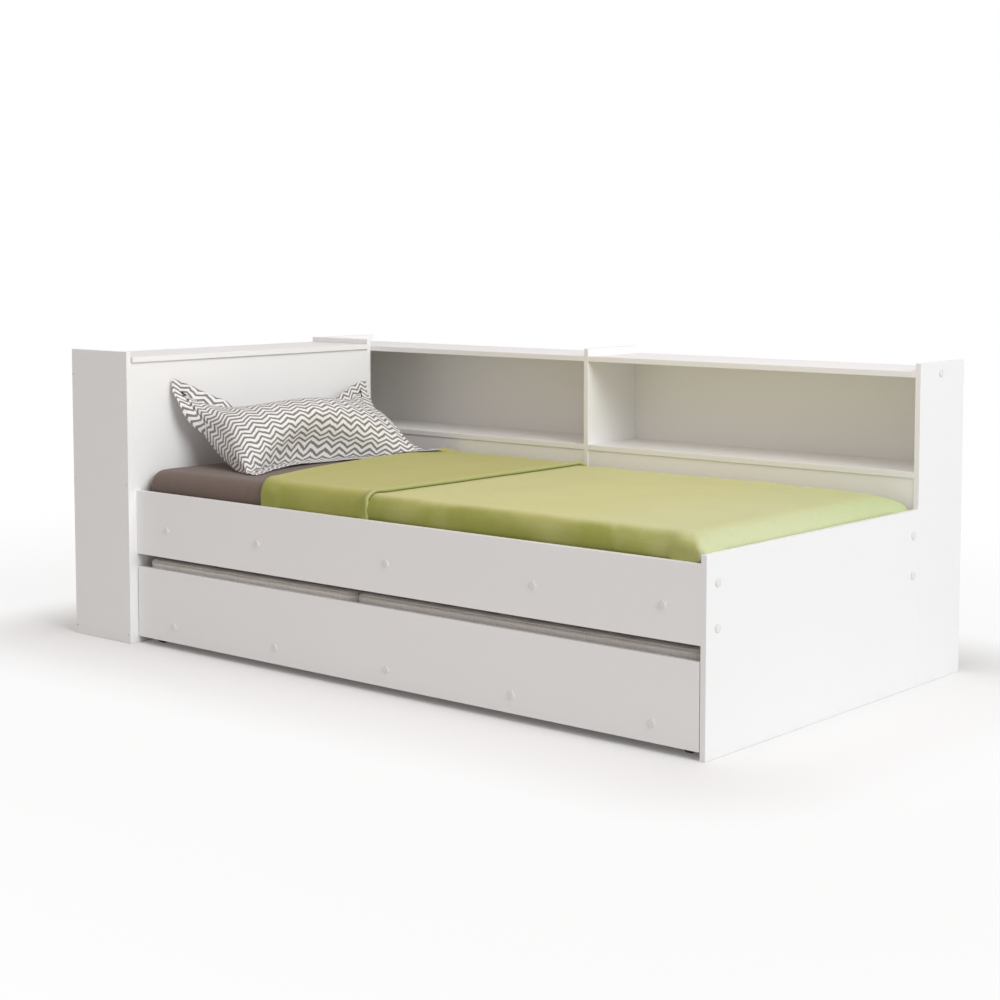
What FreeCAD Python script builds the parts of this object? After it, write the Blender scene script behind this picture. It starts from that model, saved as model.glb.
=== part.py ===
import FreeCAD, Part
import math
import os

# Single bed with a storage headboard across its head end, an open bookcase along its rear side and
# a guest bed on castors below the slats. Millimetres. The origin is on the floor, at the middle of
# the overall length and depth. +X runs to the foot, +Y to the bookcase and +Z up.

Vector = FreeCAD.Vector

# ---------------------------------------------------------------- driving dimensions
board = 15.0                    # melamine-faced board used for every panel
edge_break = 0.6                # eased arris of the edge banding
back_sheet = 3.0                # hardboard behind the shelves

rail_length = 1910.0            # between the headboard and the foot panel
bed_width = 935.0               # across both side rails
foot_panel_height = 452.0
rail_bottom = 253.0
rail_height = 178.0

case_height = 820.0             # headboard and bookcase, flush with each other

headboard_depth = 247.0
headboard_overhang = 28.0       # how far the headboard stands in front of the side rail
lid_drop = 15.0                 # lid's top below the end panels' tops
lid_lip = 8.0                   # lid past the headboard's inner face, for the fingers
lid_end_gap = 1.5               # between the lid and each end panel
box_floor_height = 60.0         # underside of the storage box's floor
cleat = 20.0                    # square strip under the storage box's floor

bookcase_length = 2154.0
bookcase_depth = 231.0
bookcase_top_drop = 21.0        # top boards below the end panels' tops
shelf_top = 545.0
divider_from_foot = 1062.0      # middle of the divider from the foot panel's outer face
lower_panel_setback = 3.0
floor_rail_height = 80.0

post_width = 40.0
post_thickness = 20.0
post_end_gap = 12.0             # rail's edges to the corner posts' ends
bracket_leg = 30.0
bracket_sheet = 2.0
bracket_end_gap = 37.0          # rail's edges to the brackets' ends

ledger_top = 350.0
ledger_height = 40.0
ledger_thickness = 25.0
slat_thickness = 15.0
slat_width = 68.0
slat_count = 13
slat_end_gap = 1.0
slat_end_margin = 40.0          # bed's end to the first slat

mattress_length = 1880.0
mattress_width = 880.0
mattress_thickness = 120.0
mattress_head_gap = 4.0
mattress_round = 34.0           # radius of its corners and of its upper rim
sheet_thickness = 1.2
sheet_edge = 12.0               # fitted sheet's lower edge above the slats
cloth_gap = 0.3
throw_thickness = 4.0
throw_tuck = 400.0              # height of the throw's tucked-in edge
throw_reach_front = 1410.0      # throw's head edge from the foot, at the front rail
throw_reach_rear = 1560.0       # and at the rear rail
throw_edge_bow = 57.0           # sagitta of that edge
turn_down_edge = 1042.0         # turned-down layer's hem from the foot
hem_width = 11.0
hem_rise = 2.4

pillow_length = 710.0
pillow_chord = 380.0
pillow_crown = 70.0             # above and below the seam
pillow_draw_in = 12.0           # long sides' waist
pillow_border = 42.0
pillow_border_thickness = 3.0
pillow_border_waist = 14.0
pillow_tilt = 32.5
pillow_wall_gap = 1.0
pillow_end_crown = 4.0
pillow_seam_taper = 0.45         # how much thinner than an ellipse the seams are
pillow_stations = 9
pillow_facets = 16              # facets from seam to seam

trundle_bottom = 19.0
trundle_front_height = 198.5
trundle_end_gap = 2.5
trundle_depth = 895.0
trundle_side_gap = 10.0         # trundle's sides to the headboard and to the foot panel
trundle_side_bottom = 30.0
trundle_back_height = 140.0
trundle_ledger_top = 80.0
trundle_ledger_thickness = 20.0
castor_block = 60.0
trundle_slat_count = 12
trundle_mattress_thickness = 145.0
trundle_mattress_front_gap = 10.0
trundle_mattress_back_gap = 5.0
trundle_mattress_end_inset = 5.0   # mattress inside the sides' outer faces
trundle_mattress_split = 1096.0    # joint of its two sections, from the foot
trundle_mattress_offset = 5.0      # head section in front of the foot section
trundle_mattress_radius = 28.0
trundle_mattress_arris = 8.0

castor_radius = 17.0
castor_width = 16.0
castor_side_gap = 1.0
castor_sheet = 2.0
castor_axle_radius = 3.0
castor_running_gap = 0.05
castor_plate_length = 46.0
castor_cheek_top = 34.0
castor_cheek_end = 7.0          # cheek past the axle, below it and to both sides
rivet_head_radius = 4.5
rivet_head_height = 1.0

hinge_count = 3
hinge_length = 50.0
hinge_end_margin = 110.0
hinge_leaf = 1.2
hinge_leaf_height = 18.0
lid_leaf_height = 13.0
knuckle_radius = 2.5
hinge_pin_radius = 1.25
hinge_running_gap = 0.05
hinge_gap = 0.3
knuckle_wall_gap = 0.1

# ---------------------------------------------------------------- places that follow
knuckle_overhang = 2 * knuckle_radius + knuckle_wall_gap
overall_length = knuckle_overhang + headboard_depth + rail_length + board
overall_depth = headboard_overhang + bed_width + bookcase_depth

x_outer = -overall_length / 2 + knuckle_overhang      # headboard's outer face
x_head = x_outer + headboard_depth                    # headboard's face at the mattress
x_foot_in = x_head + rail_length
x_foot = x_foot_in + board

y_headboard = -overall_depth / 2                      # headboard's front face
y_front = y_headboard + headboard_overhang            # front of the side rail and the trundle
y_rear = y_front + bed_width                          # where the bookcase begins
y_back = y_rear + bookcase_depth
y_bed_middle = (y_front + y_rear) / 2
y_rail_in = y_front + board
y_rear_rail = y_rear - board

lid_top = case_height - lid_drop
lid_bottom = lid_top - board
rail_top = rail_bottom + rail_height
slat_top = ledger_top + slat_thickness
mattress_top = slat_top + mattress_thickness
sheet_top = mattress_top + sheet_thickness
shelf_bottom = shelf_top - board
bookcase_top = case_height - bookcase_top_drop


# ---------------------------------------------------------------- shapes
def block(x, y, z):
    """Box between three (low, high) pairs."""
    return Part.makeBox(x[1] - x[0], y[1] - y[0], z[1] - z[0], Vector(x[0], y[0], z[0]))


def panel(x, y, z, arris=edge_break):
    """Board with all its arrises eased."""
    solid = block(x, y, z)
    return solid.makeChamfer(arris, solid.Edges)


def grow(span, amount):
    return (span[0] - amount, span[1] + amount)


def edges_at(solid, height):
    """Edges that lie flat at one height."""
    return [e for e in solid.Edges if all(abs(v.Z - height) < 0.01 for v in e.Vertexes)]


def round_corners(solid, radius):
    """Block with round upright corners."""
    upright = [e for e in solid.Edges if abs(e.tangentAt(e.FirstParameter).z) > 0.9]
    return solid.makeFillet(radius, upright)


AXIS_X = Vector(1, 0, 0)
AXIS_Y = Vector(0, 1, 0)


def cylinder(radius, length, point, direction):
    return Part.makeCylinder(radius, length, point, direction)


def evenly(first, last, count):
    step = (last - first) / (count - 1)
    return [first + step * i for i in range(count)]


def group(solids):
    return Part.makeCompound(solids)


# ---------------------------------------------------------------- headboard
def headboard():
    depth = (x_outer, x_head)
    inside = (y_headboard + board, y_rear - board)
    inner_span = (x_outer + board, x_head - board)
    floor_top = box_floor_height + board
    cleat_z = (box_floor_height - cleat, box_floor_height)
    cleats = [block((inner_span[0], inner_span[0] + cleat), inside, cleat_z),
              block((inner_span[1] - cleat, inner_span[1]), inside, cleat_z)]
    return {
        "headboard_front_end_panel": panel(depth, (y_headboard, inside[0]), (0, case_height)),
        "headboard_rear_end_panel": panel(depth, (inside[1], y_rear), (0, case_height)),
        "headboard_inner_panel": panel((inner_span[1], x_head), inside, (0, lid_bottom)),
        "headboard_outer_panel": panel((x_outer, inner_span[0]), inside, (0, lid_bottom)),
        "storage_box_floor": panel(inner_span, inside, (box_floor_height, floor_top)),
        "storage_box_cleats": group(cleats),
        "headboard_lid": panel((x_outer, x_head + lid_lip), grow(inside, -lid_end_gap),
                               (lid_bottom, lid_top)),
    }


# ---------------------------------------------------------------- lid hinges
hinge_x = x_outer - knuckle_wall_gap - knuckle_radius
hinge_y = evenly(y_headboard + board + hinge_end_margin, y_rear - board - hinge_end_margin, hinge_count)
knuckle_length = hinge_length / 3


def knuckle(y_low, y_high, bore):
    barrel = cylinder(knuckle_radius, y_high - y_low, Vector(hinge_x, y_low, lid_bottom), AXIS_Y)
    return barrel.cut(cylinder(bore, y_high - y_low, Vector(hinge_x, y_low, lid_bottom), AXIS_Y))


def leaf(y_mid, z, knuckle_spans, bore):
    """Plate with its knuckles, cut away round the knuckles of the other leaf."""
    y = grow((y_mid, y_mid), hinge_length / 2)
    plate = block((x_outer - hinge_leaf, x_outer), y, z)
    relief = knuckle_radius + hinge_gap
    cut_z = (lid_bottom - relief, lid_bottom + relief)
    plate = plate.cut(block((hinge_x - relief, x_outer + 1), grow(y, 1), cut_z))
    for low, high in knuckle_spans:
        arm_z = (min(z[0], lid_bottom), max(z[1], lid_bottom))
        arm_z = (max(arm_z[0], cut_z[0] - 1), min(arm_z[1], cut_z[1] + 1))
        plate = plate.fuse(block((x_outer - hinge_leaf, x_outer), (low, high), arm_z))
        plate = plate.cut(cylinder(bore, high - low, Vector(hinge_x, low, lid_bottom), AXIS_Y))
        plate = plate.fuse(knuckle(low, high, bore))
    return plate.removeSplitter()


def hinges():
    fixed, moving, pins = [], [], []
    for y_mid in hinge_y:
        low = y_mid - hinge_length / 2
        high = y_mid + hinge_length / 2
        middle = (low + knuckle_length + hinge_gap, high - knuckle_length - hinge_gap)
        outer = [(low, low + knuckle_length), (high - knuckle_length, high)]
        fixed_z = (lid_bottom - hinge_leaf_height, lid_bottom - hinge_gap)
        moving_z = (lid_bottom + hinge_gap, lid_bottom + lid_leaf_height)
        fixed.append(leaf(y_mid, fixed_z, outer, hinge_pin_radius))
        moving.append(leaf(y_mid, moving_z, [middle], hinge_pin_radius + hinge_running_gap))
        pins.append(cylinder(hinge_pin_radius, hinge_length, Vector(hinge_x, low, lid_bottom), AXIS_Y))
    return {
        "lid_hinge_fixed_leaves": group(fixed),
        "lid_hinge_moving_leaves": group(moving),
        "lid_hinge_pins": group(pins),
    }


# ---------------------------------------------------------------- bookcase
def bookcase():
    depth = (y_rear, y_back)
    inner_depth = (y_rear, y_back - back_sheet)
    head_end = (x_foot - bookcase_length, x_foot - bookcase_length + board)
    foot_end = (x_foot_in, x_foot)
    divider_x = grow((x_foot - divider_from_foot,) * 2, board / 2)
    bays = {"head": (head_end[1], divider_x[0]), "foot": (divider_x[1], foot_end[0])}
    backs = {"head": (head_end[1], x_foot - divider_from_foot),
             "foot": (x_foot - divider_from_foot, foot_end[0])}
    full = (0, case_height)
    nodes = {
        "bookcase_head_end_panel": panel(head_end, depth, full),
        "bookcase_foot_end_panel": panel(foot_end, depth, full),
        "bookcase_divider": panel(divider_x, inner_depth, full),
    }
    lower_y = (y_rear + lower_panel_setback, y_rear + lower_panel_setback + board)
    for side, bay in bays.items():
        nodes["bookcase_%s_lower_panel" % side] = panel(bay, lower_y, (0, shelf_bottom))
        nodes["bookcase_%s_shelf" % side] = panel(bay, inner_depth, (shelf_bottom, shelf_top))
        nodes["bookcase_%s_top_board" % side] = panel(
            bay, inner_depth, (bookcase_top - board, bookcase_top))
        nodes["bookcase_%s_back" % side] = block(
            backs[side], (inner_depth[1], y_back), (shelf_bottom, bookcase_top))
        nodes["bookcase_%s_floor_rail" % side] = panel(
            bay, (inner_depth[1] - board, inner_depth[1]), (0, floor_rail_height))
    return nodes


# ---------------------------------------------------------------- bed frame
def bed_frame():
    rail_x = (x_head, x_foot_in)
    rail_z = (rail_bottom, rail_top)
    post_x = (x_foot_in - post_thickness, x_foot_in)
    posts = [block(post_x, y, grow(rail_z, -post_end_gap))
             for y in ((y_rail_in, y_rail_in + post_width), (y_rear_rail - post_width, y_rear_rail))]

    ledger_x = (x_head + bracket_leg + bracket_sheet, post_x[0])
    ledger_z = (ledger_top - ledger_height, ledger_top)
    slat_y = (y_rail_in + slat_end_gap, y_rear_rail - slat_end_gap)
    first = x_head + slat_end_margin + slat_width / 2
    last = x_foot_in - slat_end_margin - slat_width / 2
    slats = [block(grow((x, x), slat_width / 2), slat_y, (ledger_top, slat_top))
             for x in evenly(first, last, slat_count)]

    bracket_z = grow(rail_z, -bracket_end_gap)
    brackets = []
    for wall, turn in ((y_rail_in, 1), (y_rear_rail, -1)):
        leg = sorted((wall, wall + turn * bracket_leg))
        flat = sorted((wall, wall + turn * bracket_sheet))
        on_headboard = block((x_head, x_head + bracket_sheet), leg, bracket_z)
        on_rail = block((x_head, x_head + bracket_leg), flat, bracket_z)
        brackets.append(on_headboard.fuse(on_rail).removeSplitter())
    return {
        "foot_panel": panel((x_foot_in, x_foot), (y_front, y_rear), (0, foot_panel_height)),
        "front_side_rail": panel(rail_x, (y_front, y_rail_in), rail_z),
        "rear_side_rail": panel(rail_x, (y_rear_rail, y_rear), rail_z),
        "foot_corner_posts": group(posts),
        "head_rail_brackets": group(brackets),
        "front_slat_ledger": block(ledger_x, (y_rail_in, y_rail_in + ledger_thickness), ledger_z),
        "rear_slat_ledger": block(ledger_x, (y_rear_rail - ledger_thickness, y_rear_rail), ledger_z),
        "bed_slats": group(slats),
    }


# ---------------------------------------------------------------- bedding
mattress_x = (x_head + mattress_head_gap, x_head + mattress_head_gap + mattress_length)
mattress_y = grow((y_bed_middle, y_bed_middle), mattress_width / 2)


def cover(offset):
    """The mattress, with round corners and a round rim, grown by one offset at the sides and on top."""
    top = mattress_top + offset
    solid = block(grow(mattress_x, offset), grow(mattress_y, offset), (slat_top, top))
    solid = round_corners(solid, mattress_round + offset)
    return solid.makeFillet(mattress_round + offset, edges_at(solid, top))


def layer(inner_offset, thickness, z_low):
    """Cloth of one thickness round the mattress, open below."""
    shell = cover(inner_offset + thickness).cut(cover(inner_offset))
    reach = inner_offset + thickness + 1
    above = block(grow(mattress_x, reach), grow(mattress_y, reach), (z_low, mattress_top + reach))
    return shell.common(above)


def throw_region(x_end):
    """Upright prism over the throw's plan, from its bowed head edge to x_end."""
    margin = 40.0
    front, rear = y_front - margin, y_rear + margin
    head_front = Vector(x_foot - throw_reach_front, front, 0)
    head_rear = Vector(x_foot - throw_reach_rear, rear, 0)
    middle = (head_front + head_rear) * 0.5
    along = (head_rear - head_front).normalize()
    bowed = middle + Vector(-along.y, along.x, 0) * throw_edge_bow
    outline = [
        Part.Arc(head_front, bowed, head_rear).toShape(),
        Part.makeLine(head_rear, Vector(x_end, rear, 0)),
        Part.makeLine(Vector(x_end, rear, 0), Vector(x_end, front, 0)),
        Part.makeLine(Vector(x_end, front, 0), head_front),
    ]
    return Part.Face(Part.Wire(outline)).extrude(Vector(0, 0, case_height))


def throw():
    """Blanket tucked in at the sides and the foot, its upper part turned down over itself."""
    first = sheet_thickness + cloth_gap
    x_hem = x_foot - turn_down_edge
    lower = layer(first, throw_thickness, throw_tuck).common(throw_region(x_foot_in))
    upper = layer(first + throw_thickness, throw_thickness, throw_tuck).common(throw_region(x_hem))
    hem_band = block((x_hem - hem_width, x_hem), (y_front - 1, y_rear + 1), (0, case_height))
    hem = layer(first + 2 * throw_thickness, hem_rise, throw_tuck).common(hem_band)
    return lower.fuse([upper, hem]).removeSplitter()


def pillow_section(station, half_chord, crown):
    """Closed outline across the pillow's width, full in the middle and thin at both seams."""
    turns = evenly(0, 2 * math.pi, 2 * pillow_facets + 1)
    points = [Vector(pillow_chord / 2 + half_chord * math.cos(a), station,
                     crown * math.sin(a) * abs(math.sin(a)) ** pillow_seam_taper) for a in turns]
    return Part.makePolygon(points)


def pillow():
    """Stuffed body with a flat border above and at both ends; the lower border is folded under."""
    half = pillow_length / 2
    sections = []
    for turn in evenly(-math.pi / 2, math.pi / 2, pillow_stations):
        share = math.sin(turn)
        crown = pillow_end_crown + (pillow_crown - pillow_end_crown) * (1 - share ** 4) ** 0.5
        half_chord = pillow_chord / 2 - pillow_draw_in * (1 - share ** 2)
        sections.append(pillow_section(half * share, half_chord, crown))
    body = Part.makeLoft(sections, True, True)

    end, top, waist = half + pillow_border, pillow_chord + pillow_border, pillow_border_waist
    seam = pillow_chord / 2
    corners = [Vector(0, -end, 0), Vector(top, -end, 0), Vector(top, end, 0), Vector(0, end, 0)]
    bows = [Vector(seam, waist - end, 0), Vector(top - waist, 0, 0), Vector(seam, end - waist, 0),
            Vector(pillow_draw_in + 2 * pillow_border_thickness, 0, 0)]
    sides = [Part.Arc(corners[i], bows[i], corners[(i + 1) % 4]).toShape() for i in range(4)]
    border = Part.Face(Part.Wire(sides)).extrude(Vector(0, 0, pillow_border_thickness))
    border.translate(Vector(0, 0, -pillow_border_thickness / 2))

    solid = body.fuse(border)
    solid.rotate(Vector(0, 0, 0), Vector(0, 0, 1), 180)
    solid.rotate(Vector(0, 0, 0), Vector(0, 1, 0), pillow_tilt)
    box = solid.BoundBox
    solid.translate(Vector(x_head + pillow_wall_gap - box.XMin, y_bed_middle,
                           sheet_top + cloth_gap - box.ZMin))
    return solid


def bedding():
    return {
        "mattress": cover(0),
        "fitted_sheet": layer(0, sheet_thickness, slat_top + sheet_edge),
        "throw": throw(),
        "pillow": pillow(),
    }


# ---------------------------------------------------------------- guest bed
trundle_side_x = ((x_head + trundle_side_gap, x_head + trundle_side_gap + board),
                  (x_foot_in - trundle_side_gap - board, x_foot_in - trundle_side_gap))
trundle_inner_x = (trundle_side_x[0][1], trundle_side_x[1][0])
trundle_inner_y = (y_front + board, y_front + trundle_depth - board)
trundle_slat_top = trundle_ledger_top + slat_thickness
castor_plate_bottom = trundle_ledger_top - ledger_height - castor_sheet
block_x = ((trundle_inner_x[0], trundle_inner_x[0] + castor_block),
           (trundle_inner_x[1] - castor_block, trundle_inner_x[1]))
block_y = ((trundle_inner_y[0], trundle_inner_y[0] + castor_block),
           (trundle_inner_y[1] - castor_block, trundle_inner_y[1]))


def trundle():
    front_x = (x_head + trundle_end_gap, x_foot_in - trundle_end_gap)
    back_x = (trundle_side_x[0][0], trundle_side_x[1][1])
    side_z = (trundle_side_bottom, trundle_slat_top)
    ledger_x = (block_x[0][1], block_x[1][0])
    ledger_z = (trundle_ledger_top - ledger_height, trundle_ledger_top)
    front_ledger_y = (trundle_inner_y[0], trundle_inner_y[0] + trundle_ledger_thickness)
    rear_ledger_y = (trundle_inner_y[1] - trundle_ledger_thickness, trundle_inner_y[1])
    blocks = [block(x, y, ledger_z) for x in block_x for y in block_y]
    slat_y = grow(trundle_inner_y, -slat_end_gap)
    first = trundle_inner_x[0] + slat_end_margin + slat_width / 2
    last = trundle_inner_x[1] - slat_end_margin - slat_width / 2
    slats = [block(grow((x, x), slat_width / 2), slat_y, (trundle_ledger_top, trundle_slat_top))
             for x in evenly(first, last, trundle_slat_count)]
    back_z = (trundle_side_bottom, trundle_side_bottom + trundle_back_height)
    nodes = {
        "trundle_front_panel": panel(front_x, (y_front, trundle_inner_y[0]),
                                     (trundle_bottom, trundle_bottom + trundle_front_height)),
        "trundle_back_panel": panel(back_x, (trundle_inner_y[1], y_front + trundle_depth), back_z),
        "trundle_head_side": panel(trundle_side_x[0], trundle_inner_y, side_z),
        "trundle_foot_side": panel(trundle_side_x[1], trundle_inner_y, side_z),
        "trundle_front_ledger": block(ledger_x, front_ledger_y, ledger_z),
        "trundle_rear_ledger": block(ledger_x, rear_ledger_y, ledger_z),
        "trundle_castor_blocks": group(blocks),
        "trundle_slats": group(slats),
    }
    split = x_foot - trundle_mattress_split
    ends = grow((trundle_side_x[0][0], trundle_side_x[1][1]), -trundle_mattress_end_inset)
    z = (trundle_slat_top, trundle_slat_top + trundle_mattress_thickness)
    back = trundle_inner_y[1] - trundle_mattress_back_gap
    front = trundle_inner_y[0] + trundle_mattress_front_gap
    sections = {
        "head": ((ends[0], split - cloth_gap), (front, back)),
        "foot": ((split + cloth_gap, ends[1]), (front + trundle_mattress_offset, back)),
    }
    for side, (x, y) in sections.items():
        foam = round_corners(block(x, y, z), trundle_mattress_radius)
        foam = foam.makeChamfer(trundle_mattress_arris, edges_at(foam, z[1]))
        nodes["trundle_mattress_%s_section" % side] = foam
    return nodes


# ---------------------------------------------------------------- castors
def castor_bracket(x, y):
    """Top plate with two cheeks that narrow to the axle."""
    inner = castor_width / 2 + castor_side_gap
    outer = inner + castor_sheet
    plate_z = (castor_plate_bottom, castor_plate_bottom + castor_sheet)
    solid = block((x - outer, x + outer), grow((y, y), castor_plate_length / 2), plate_z)
    half_top, end = castor_cheek_top / 2, castor_cheek_end
    outline = [(-half_top, castor_plate_bottom), (half_top, castor_plate_bottom),
               (end, castor_radius), (end / 2, castor_radius - end),
               (-end / 2, castor_radius - end), (-end, castor_radius)]
    for side in (x - outer, x + inner):
        points = [Vector(side, y + dy, z) for dy, z in outline + outline[:1]]
        cheek = Part.Face(Part.makePolygon(points)).extrude(AXIS_X * castor_sheet)
        solid = solid.fuse(cheek)
    axle = Vector(x - outer, y, castor_radius)
    return solid.cut(cylinder(castor_axle_radius, 2 * outer, axle, AXIS_X)).removeSplitter()


def castor_axle(x, y):
    """Rivet through both cheeks, with a head at each end."""
    outer = castor_width / 2 + castor_side_gap + castor_sheet
    rivet = cylinder(castor_axle_radius, 2 * outer, Vector(x - outer, y, castor_radius), AXIS_X)
    for side in (x - outer - rivet_head_height, x + outer):
        head = cylinder(rivet_head_radius, rivet_head_height, Vector(side, y, castor_radius), AXIS_X)
        rivet = rivet.fuse(head)
    return rivet.removeSplitter()


def castor_wheel(x, y):
    """Solid wheel with a bore that runs on the rivet."""
    point = Vector(x - castor_width / 2, y, castor_radius)
    bore = cylinder(castor_axle_radius + castor_running_gap, castor_width, point, AXIS_X)
    return cylinder(castor_radius, castor_width, point, AXIS_X).cut(bore)


def castors():
    places = {"head": sum(block_x[0]) / 2, "foot": sum(block_x[1]) / 2}
    rows = {"front": sum(block_y[0]) / 2, "rear": sum(block_y[1]) / 2}
    spots = {(end, row): (x, y) for end, x in places.items() for row, y in rows.items()}
    nodes = {
        "castor_brackets": group([castor_bracket(x, y) for x, y in spots.values()]),
        "castor_axles": group([castor_axle(x, y) for x, y in spots.values()]),
    }
    for (end, row), (x, y) in spots.items():
        nodes["castor_wheel_%s_%s" % (end, row)] = castor_wheel(x, y)
    return nodes


# ---------------------------------------------------------------- all pieces
os.makedirs("parts", exist_ok=True)
for sub_assembly in (headboard, hinges, bookcase, bed_frame, bedding, trundle, castors):
    for node, shape in sub_assembly().items():
        shape.exportStep("parts/%s.step" % node)
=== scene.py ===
import math

import bpy
from mathutils import Matrix, Vector, noise


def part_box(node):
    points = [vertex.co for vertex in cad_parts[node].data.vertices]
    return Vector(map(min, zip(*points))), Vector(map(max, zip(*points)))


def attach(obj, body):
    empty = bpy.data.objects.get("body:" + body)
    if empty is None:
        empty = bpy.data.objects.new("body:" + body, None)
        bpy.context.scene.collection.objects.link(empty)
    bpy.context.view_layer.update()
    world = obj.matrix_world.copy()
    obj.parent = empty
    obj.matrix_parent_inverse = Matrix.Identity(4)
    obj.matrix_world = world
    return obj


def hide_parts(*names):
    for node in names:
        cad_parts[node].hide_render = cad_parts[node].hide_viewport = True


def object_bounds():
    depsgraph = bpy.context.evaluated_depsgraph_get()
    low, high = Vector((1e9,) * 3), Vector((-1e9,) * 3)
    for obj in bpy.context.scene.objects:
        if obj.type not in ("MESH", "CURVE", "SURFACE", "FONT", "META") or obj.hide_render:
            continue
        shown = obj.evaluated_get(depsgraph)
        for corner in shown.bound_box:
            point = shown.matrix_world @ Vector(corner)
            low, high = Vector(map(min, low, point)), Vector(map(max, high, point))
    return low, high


# Finishes, bedding and small fittings of a single bed with a storage headboard, a bookcase and a guest
# bed. Metres, in the part's own frame: the origin is on the floor, +X runs to the foot, +Y to the
# bookcase and +Z up.

bl_info = {
    "name": "Bookcase headboard bed",
    "version": (1, 0, 0),
    "blender": (4, 5, 0),
    "location": "View3D > Sidebar > Bed",
    "description": "Finishes, bedding, covers and screws of a single bed with a bookcase and a guest bed",
    "category": "Object",
}

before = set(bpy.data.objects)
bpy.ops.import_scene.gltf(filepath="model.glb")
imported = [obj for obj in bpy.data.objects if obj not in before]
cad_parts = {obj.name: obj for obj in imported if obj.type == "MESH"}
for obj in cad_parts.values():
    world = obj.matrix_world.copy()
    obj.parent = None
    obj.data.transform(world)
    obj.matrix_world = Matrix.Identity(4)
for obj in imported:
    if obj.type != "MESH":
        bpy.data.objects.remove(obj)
CAD_LOW, CAD_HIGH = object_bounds()

# ---------------------------------------------------------------- places read from the frame
MATTRESS_LOW, MATTRESS_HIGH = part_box("mattress")
SHEET_LOW, SHEET_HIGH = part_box("fitted_sheet")
THROW_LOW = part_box("throw")[0]
PILLOW_LOW, PILLOW_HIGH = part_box("pillow")
RAIL_LOW, RAIL_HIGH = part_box("front_side_rail")
REAR_RAIL_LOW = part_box("rear_side_rail")[0]
FOOT_LOW, FOOT_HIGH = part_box("foot_panel")
HEAD_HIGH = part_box("headboard_inner_panel")[1]
HEAD_END_LOW, HEAD_END_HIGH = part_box("headboard_front_end_panel")
FRONT_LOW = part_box("trundle_front_panel")[0]
BOARD = RAIL_HIGH.y - RAIL_LOW.y

STEEL_NODES = ["head_rail_brackets", "castor_brackets", "castor_axles", "lid_hinge_fixed_leaves",
               "lid_hinge_moving_leaves", "lid_hinge_pins"]
TIMBER_ALONG_X = ["front_slat_ledger", "rear_slat_ledger", "trundle_front_ledger", "trundle_rear_ledger",
                  "trundle_castor_blocks"]
TIMBER_ALONG_Y = ["bed_slats", "trundle_slats", "storage_box_cleats"]
TIMBER_ALONG_Z = ["foot_corner_posts"]
HARDBOARD_NODES = ["bookcase_head_back", "bookcase_foot_back"]
SOFT_NODES = ["mattress", "fitted_sheet", "throw", "pillow", "trundle_mattress_head_section",
              "trundle_mattress_foot_section"]
WHEEL_NODES = sorted(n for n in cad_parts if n.startswith("castor_wheel_"))
OTHER_NODES = (STEEL_NODES + TIMBER_ALONG_X + TIMBER_ALONG_Y + TIMBER_ALONG_Z + HARDBOARD_NODES
               + SOFT_NODES + WHEEL_NODES)
BOARD_NODES = sorted(set(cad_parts) - set(OTHER_NODES))


# ---------------------------------------------------------------- settings a user would change
def colour_setting(name, description, default):
    return bpy.props.FloatVectorProperty(
        name=name, description=description, default=default, size=3, min=0.0, max=1.0, subtype="COLOR")


def length_setting(name, description, default, low):
    return bpy.props.FloatProperty(
        name=name, description=description, default=default, min=low, unit="LENGTH")


class BedStageSettings(bpy.types.PropertyGroup):
    """Light, floor and camera."""
    ambient: bpy.props.FloatProperty(
        name="Ambient light", description="Strength of the even light from all round",
        default=0.49, min=0.0, max=3.0)
    key_power: bpy.props.FloatProperty(
        name="Key light", description="Power of the large soft light at the foot end",
        default=1480.0, min=0.0, subtype="POWER")
    fill_power: bpy.props.FloatProperty(
        name="Fill light", description="Power of the small soft light over the bed",
        default=13.5, min=0.0, subtype="POWER")
    lens: bpy.props.FloatProperty(
        name="Lens", description="Focal length of the camera in millimetres", default=68.44, min=10.0)


class BedBoardSettings(bpy.types.PropertyGroup):
    """White boards, timber and fittings."""
    board_colour: colour_setting("Board colour", "Colour of the melamine facing", (0.895, 0.89, 0.885))
    timber_colour: colour_setting("Timber colour", "Colour of the slats and ledgers", (0.72, 0.53, 0.33))
    cover_radius: length_setting("Screw cover radius", "Radius of the covers over the screws", 0.0100, 0.002)
    cover_height: length_setting(
        "Screw cover height", "How far a cover stands out of its board", 0.0028, 0.0002)


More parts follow.
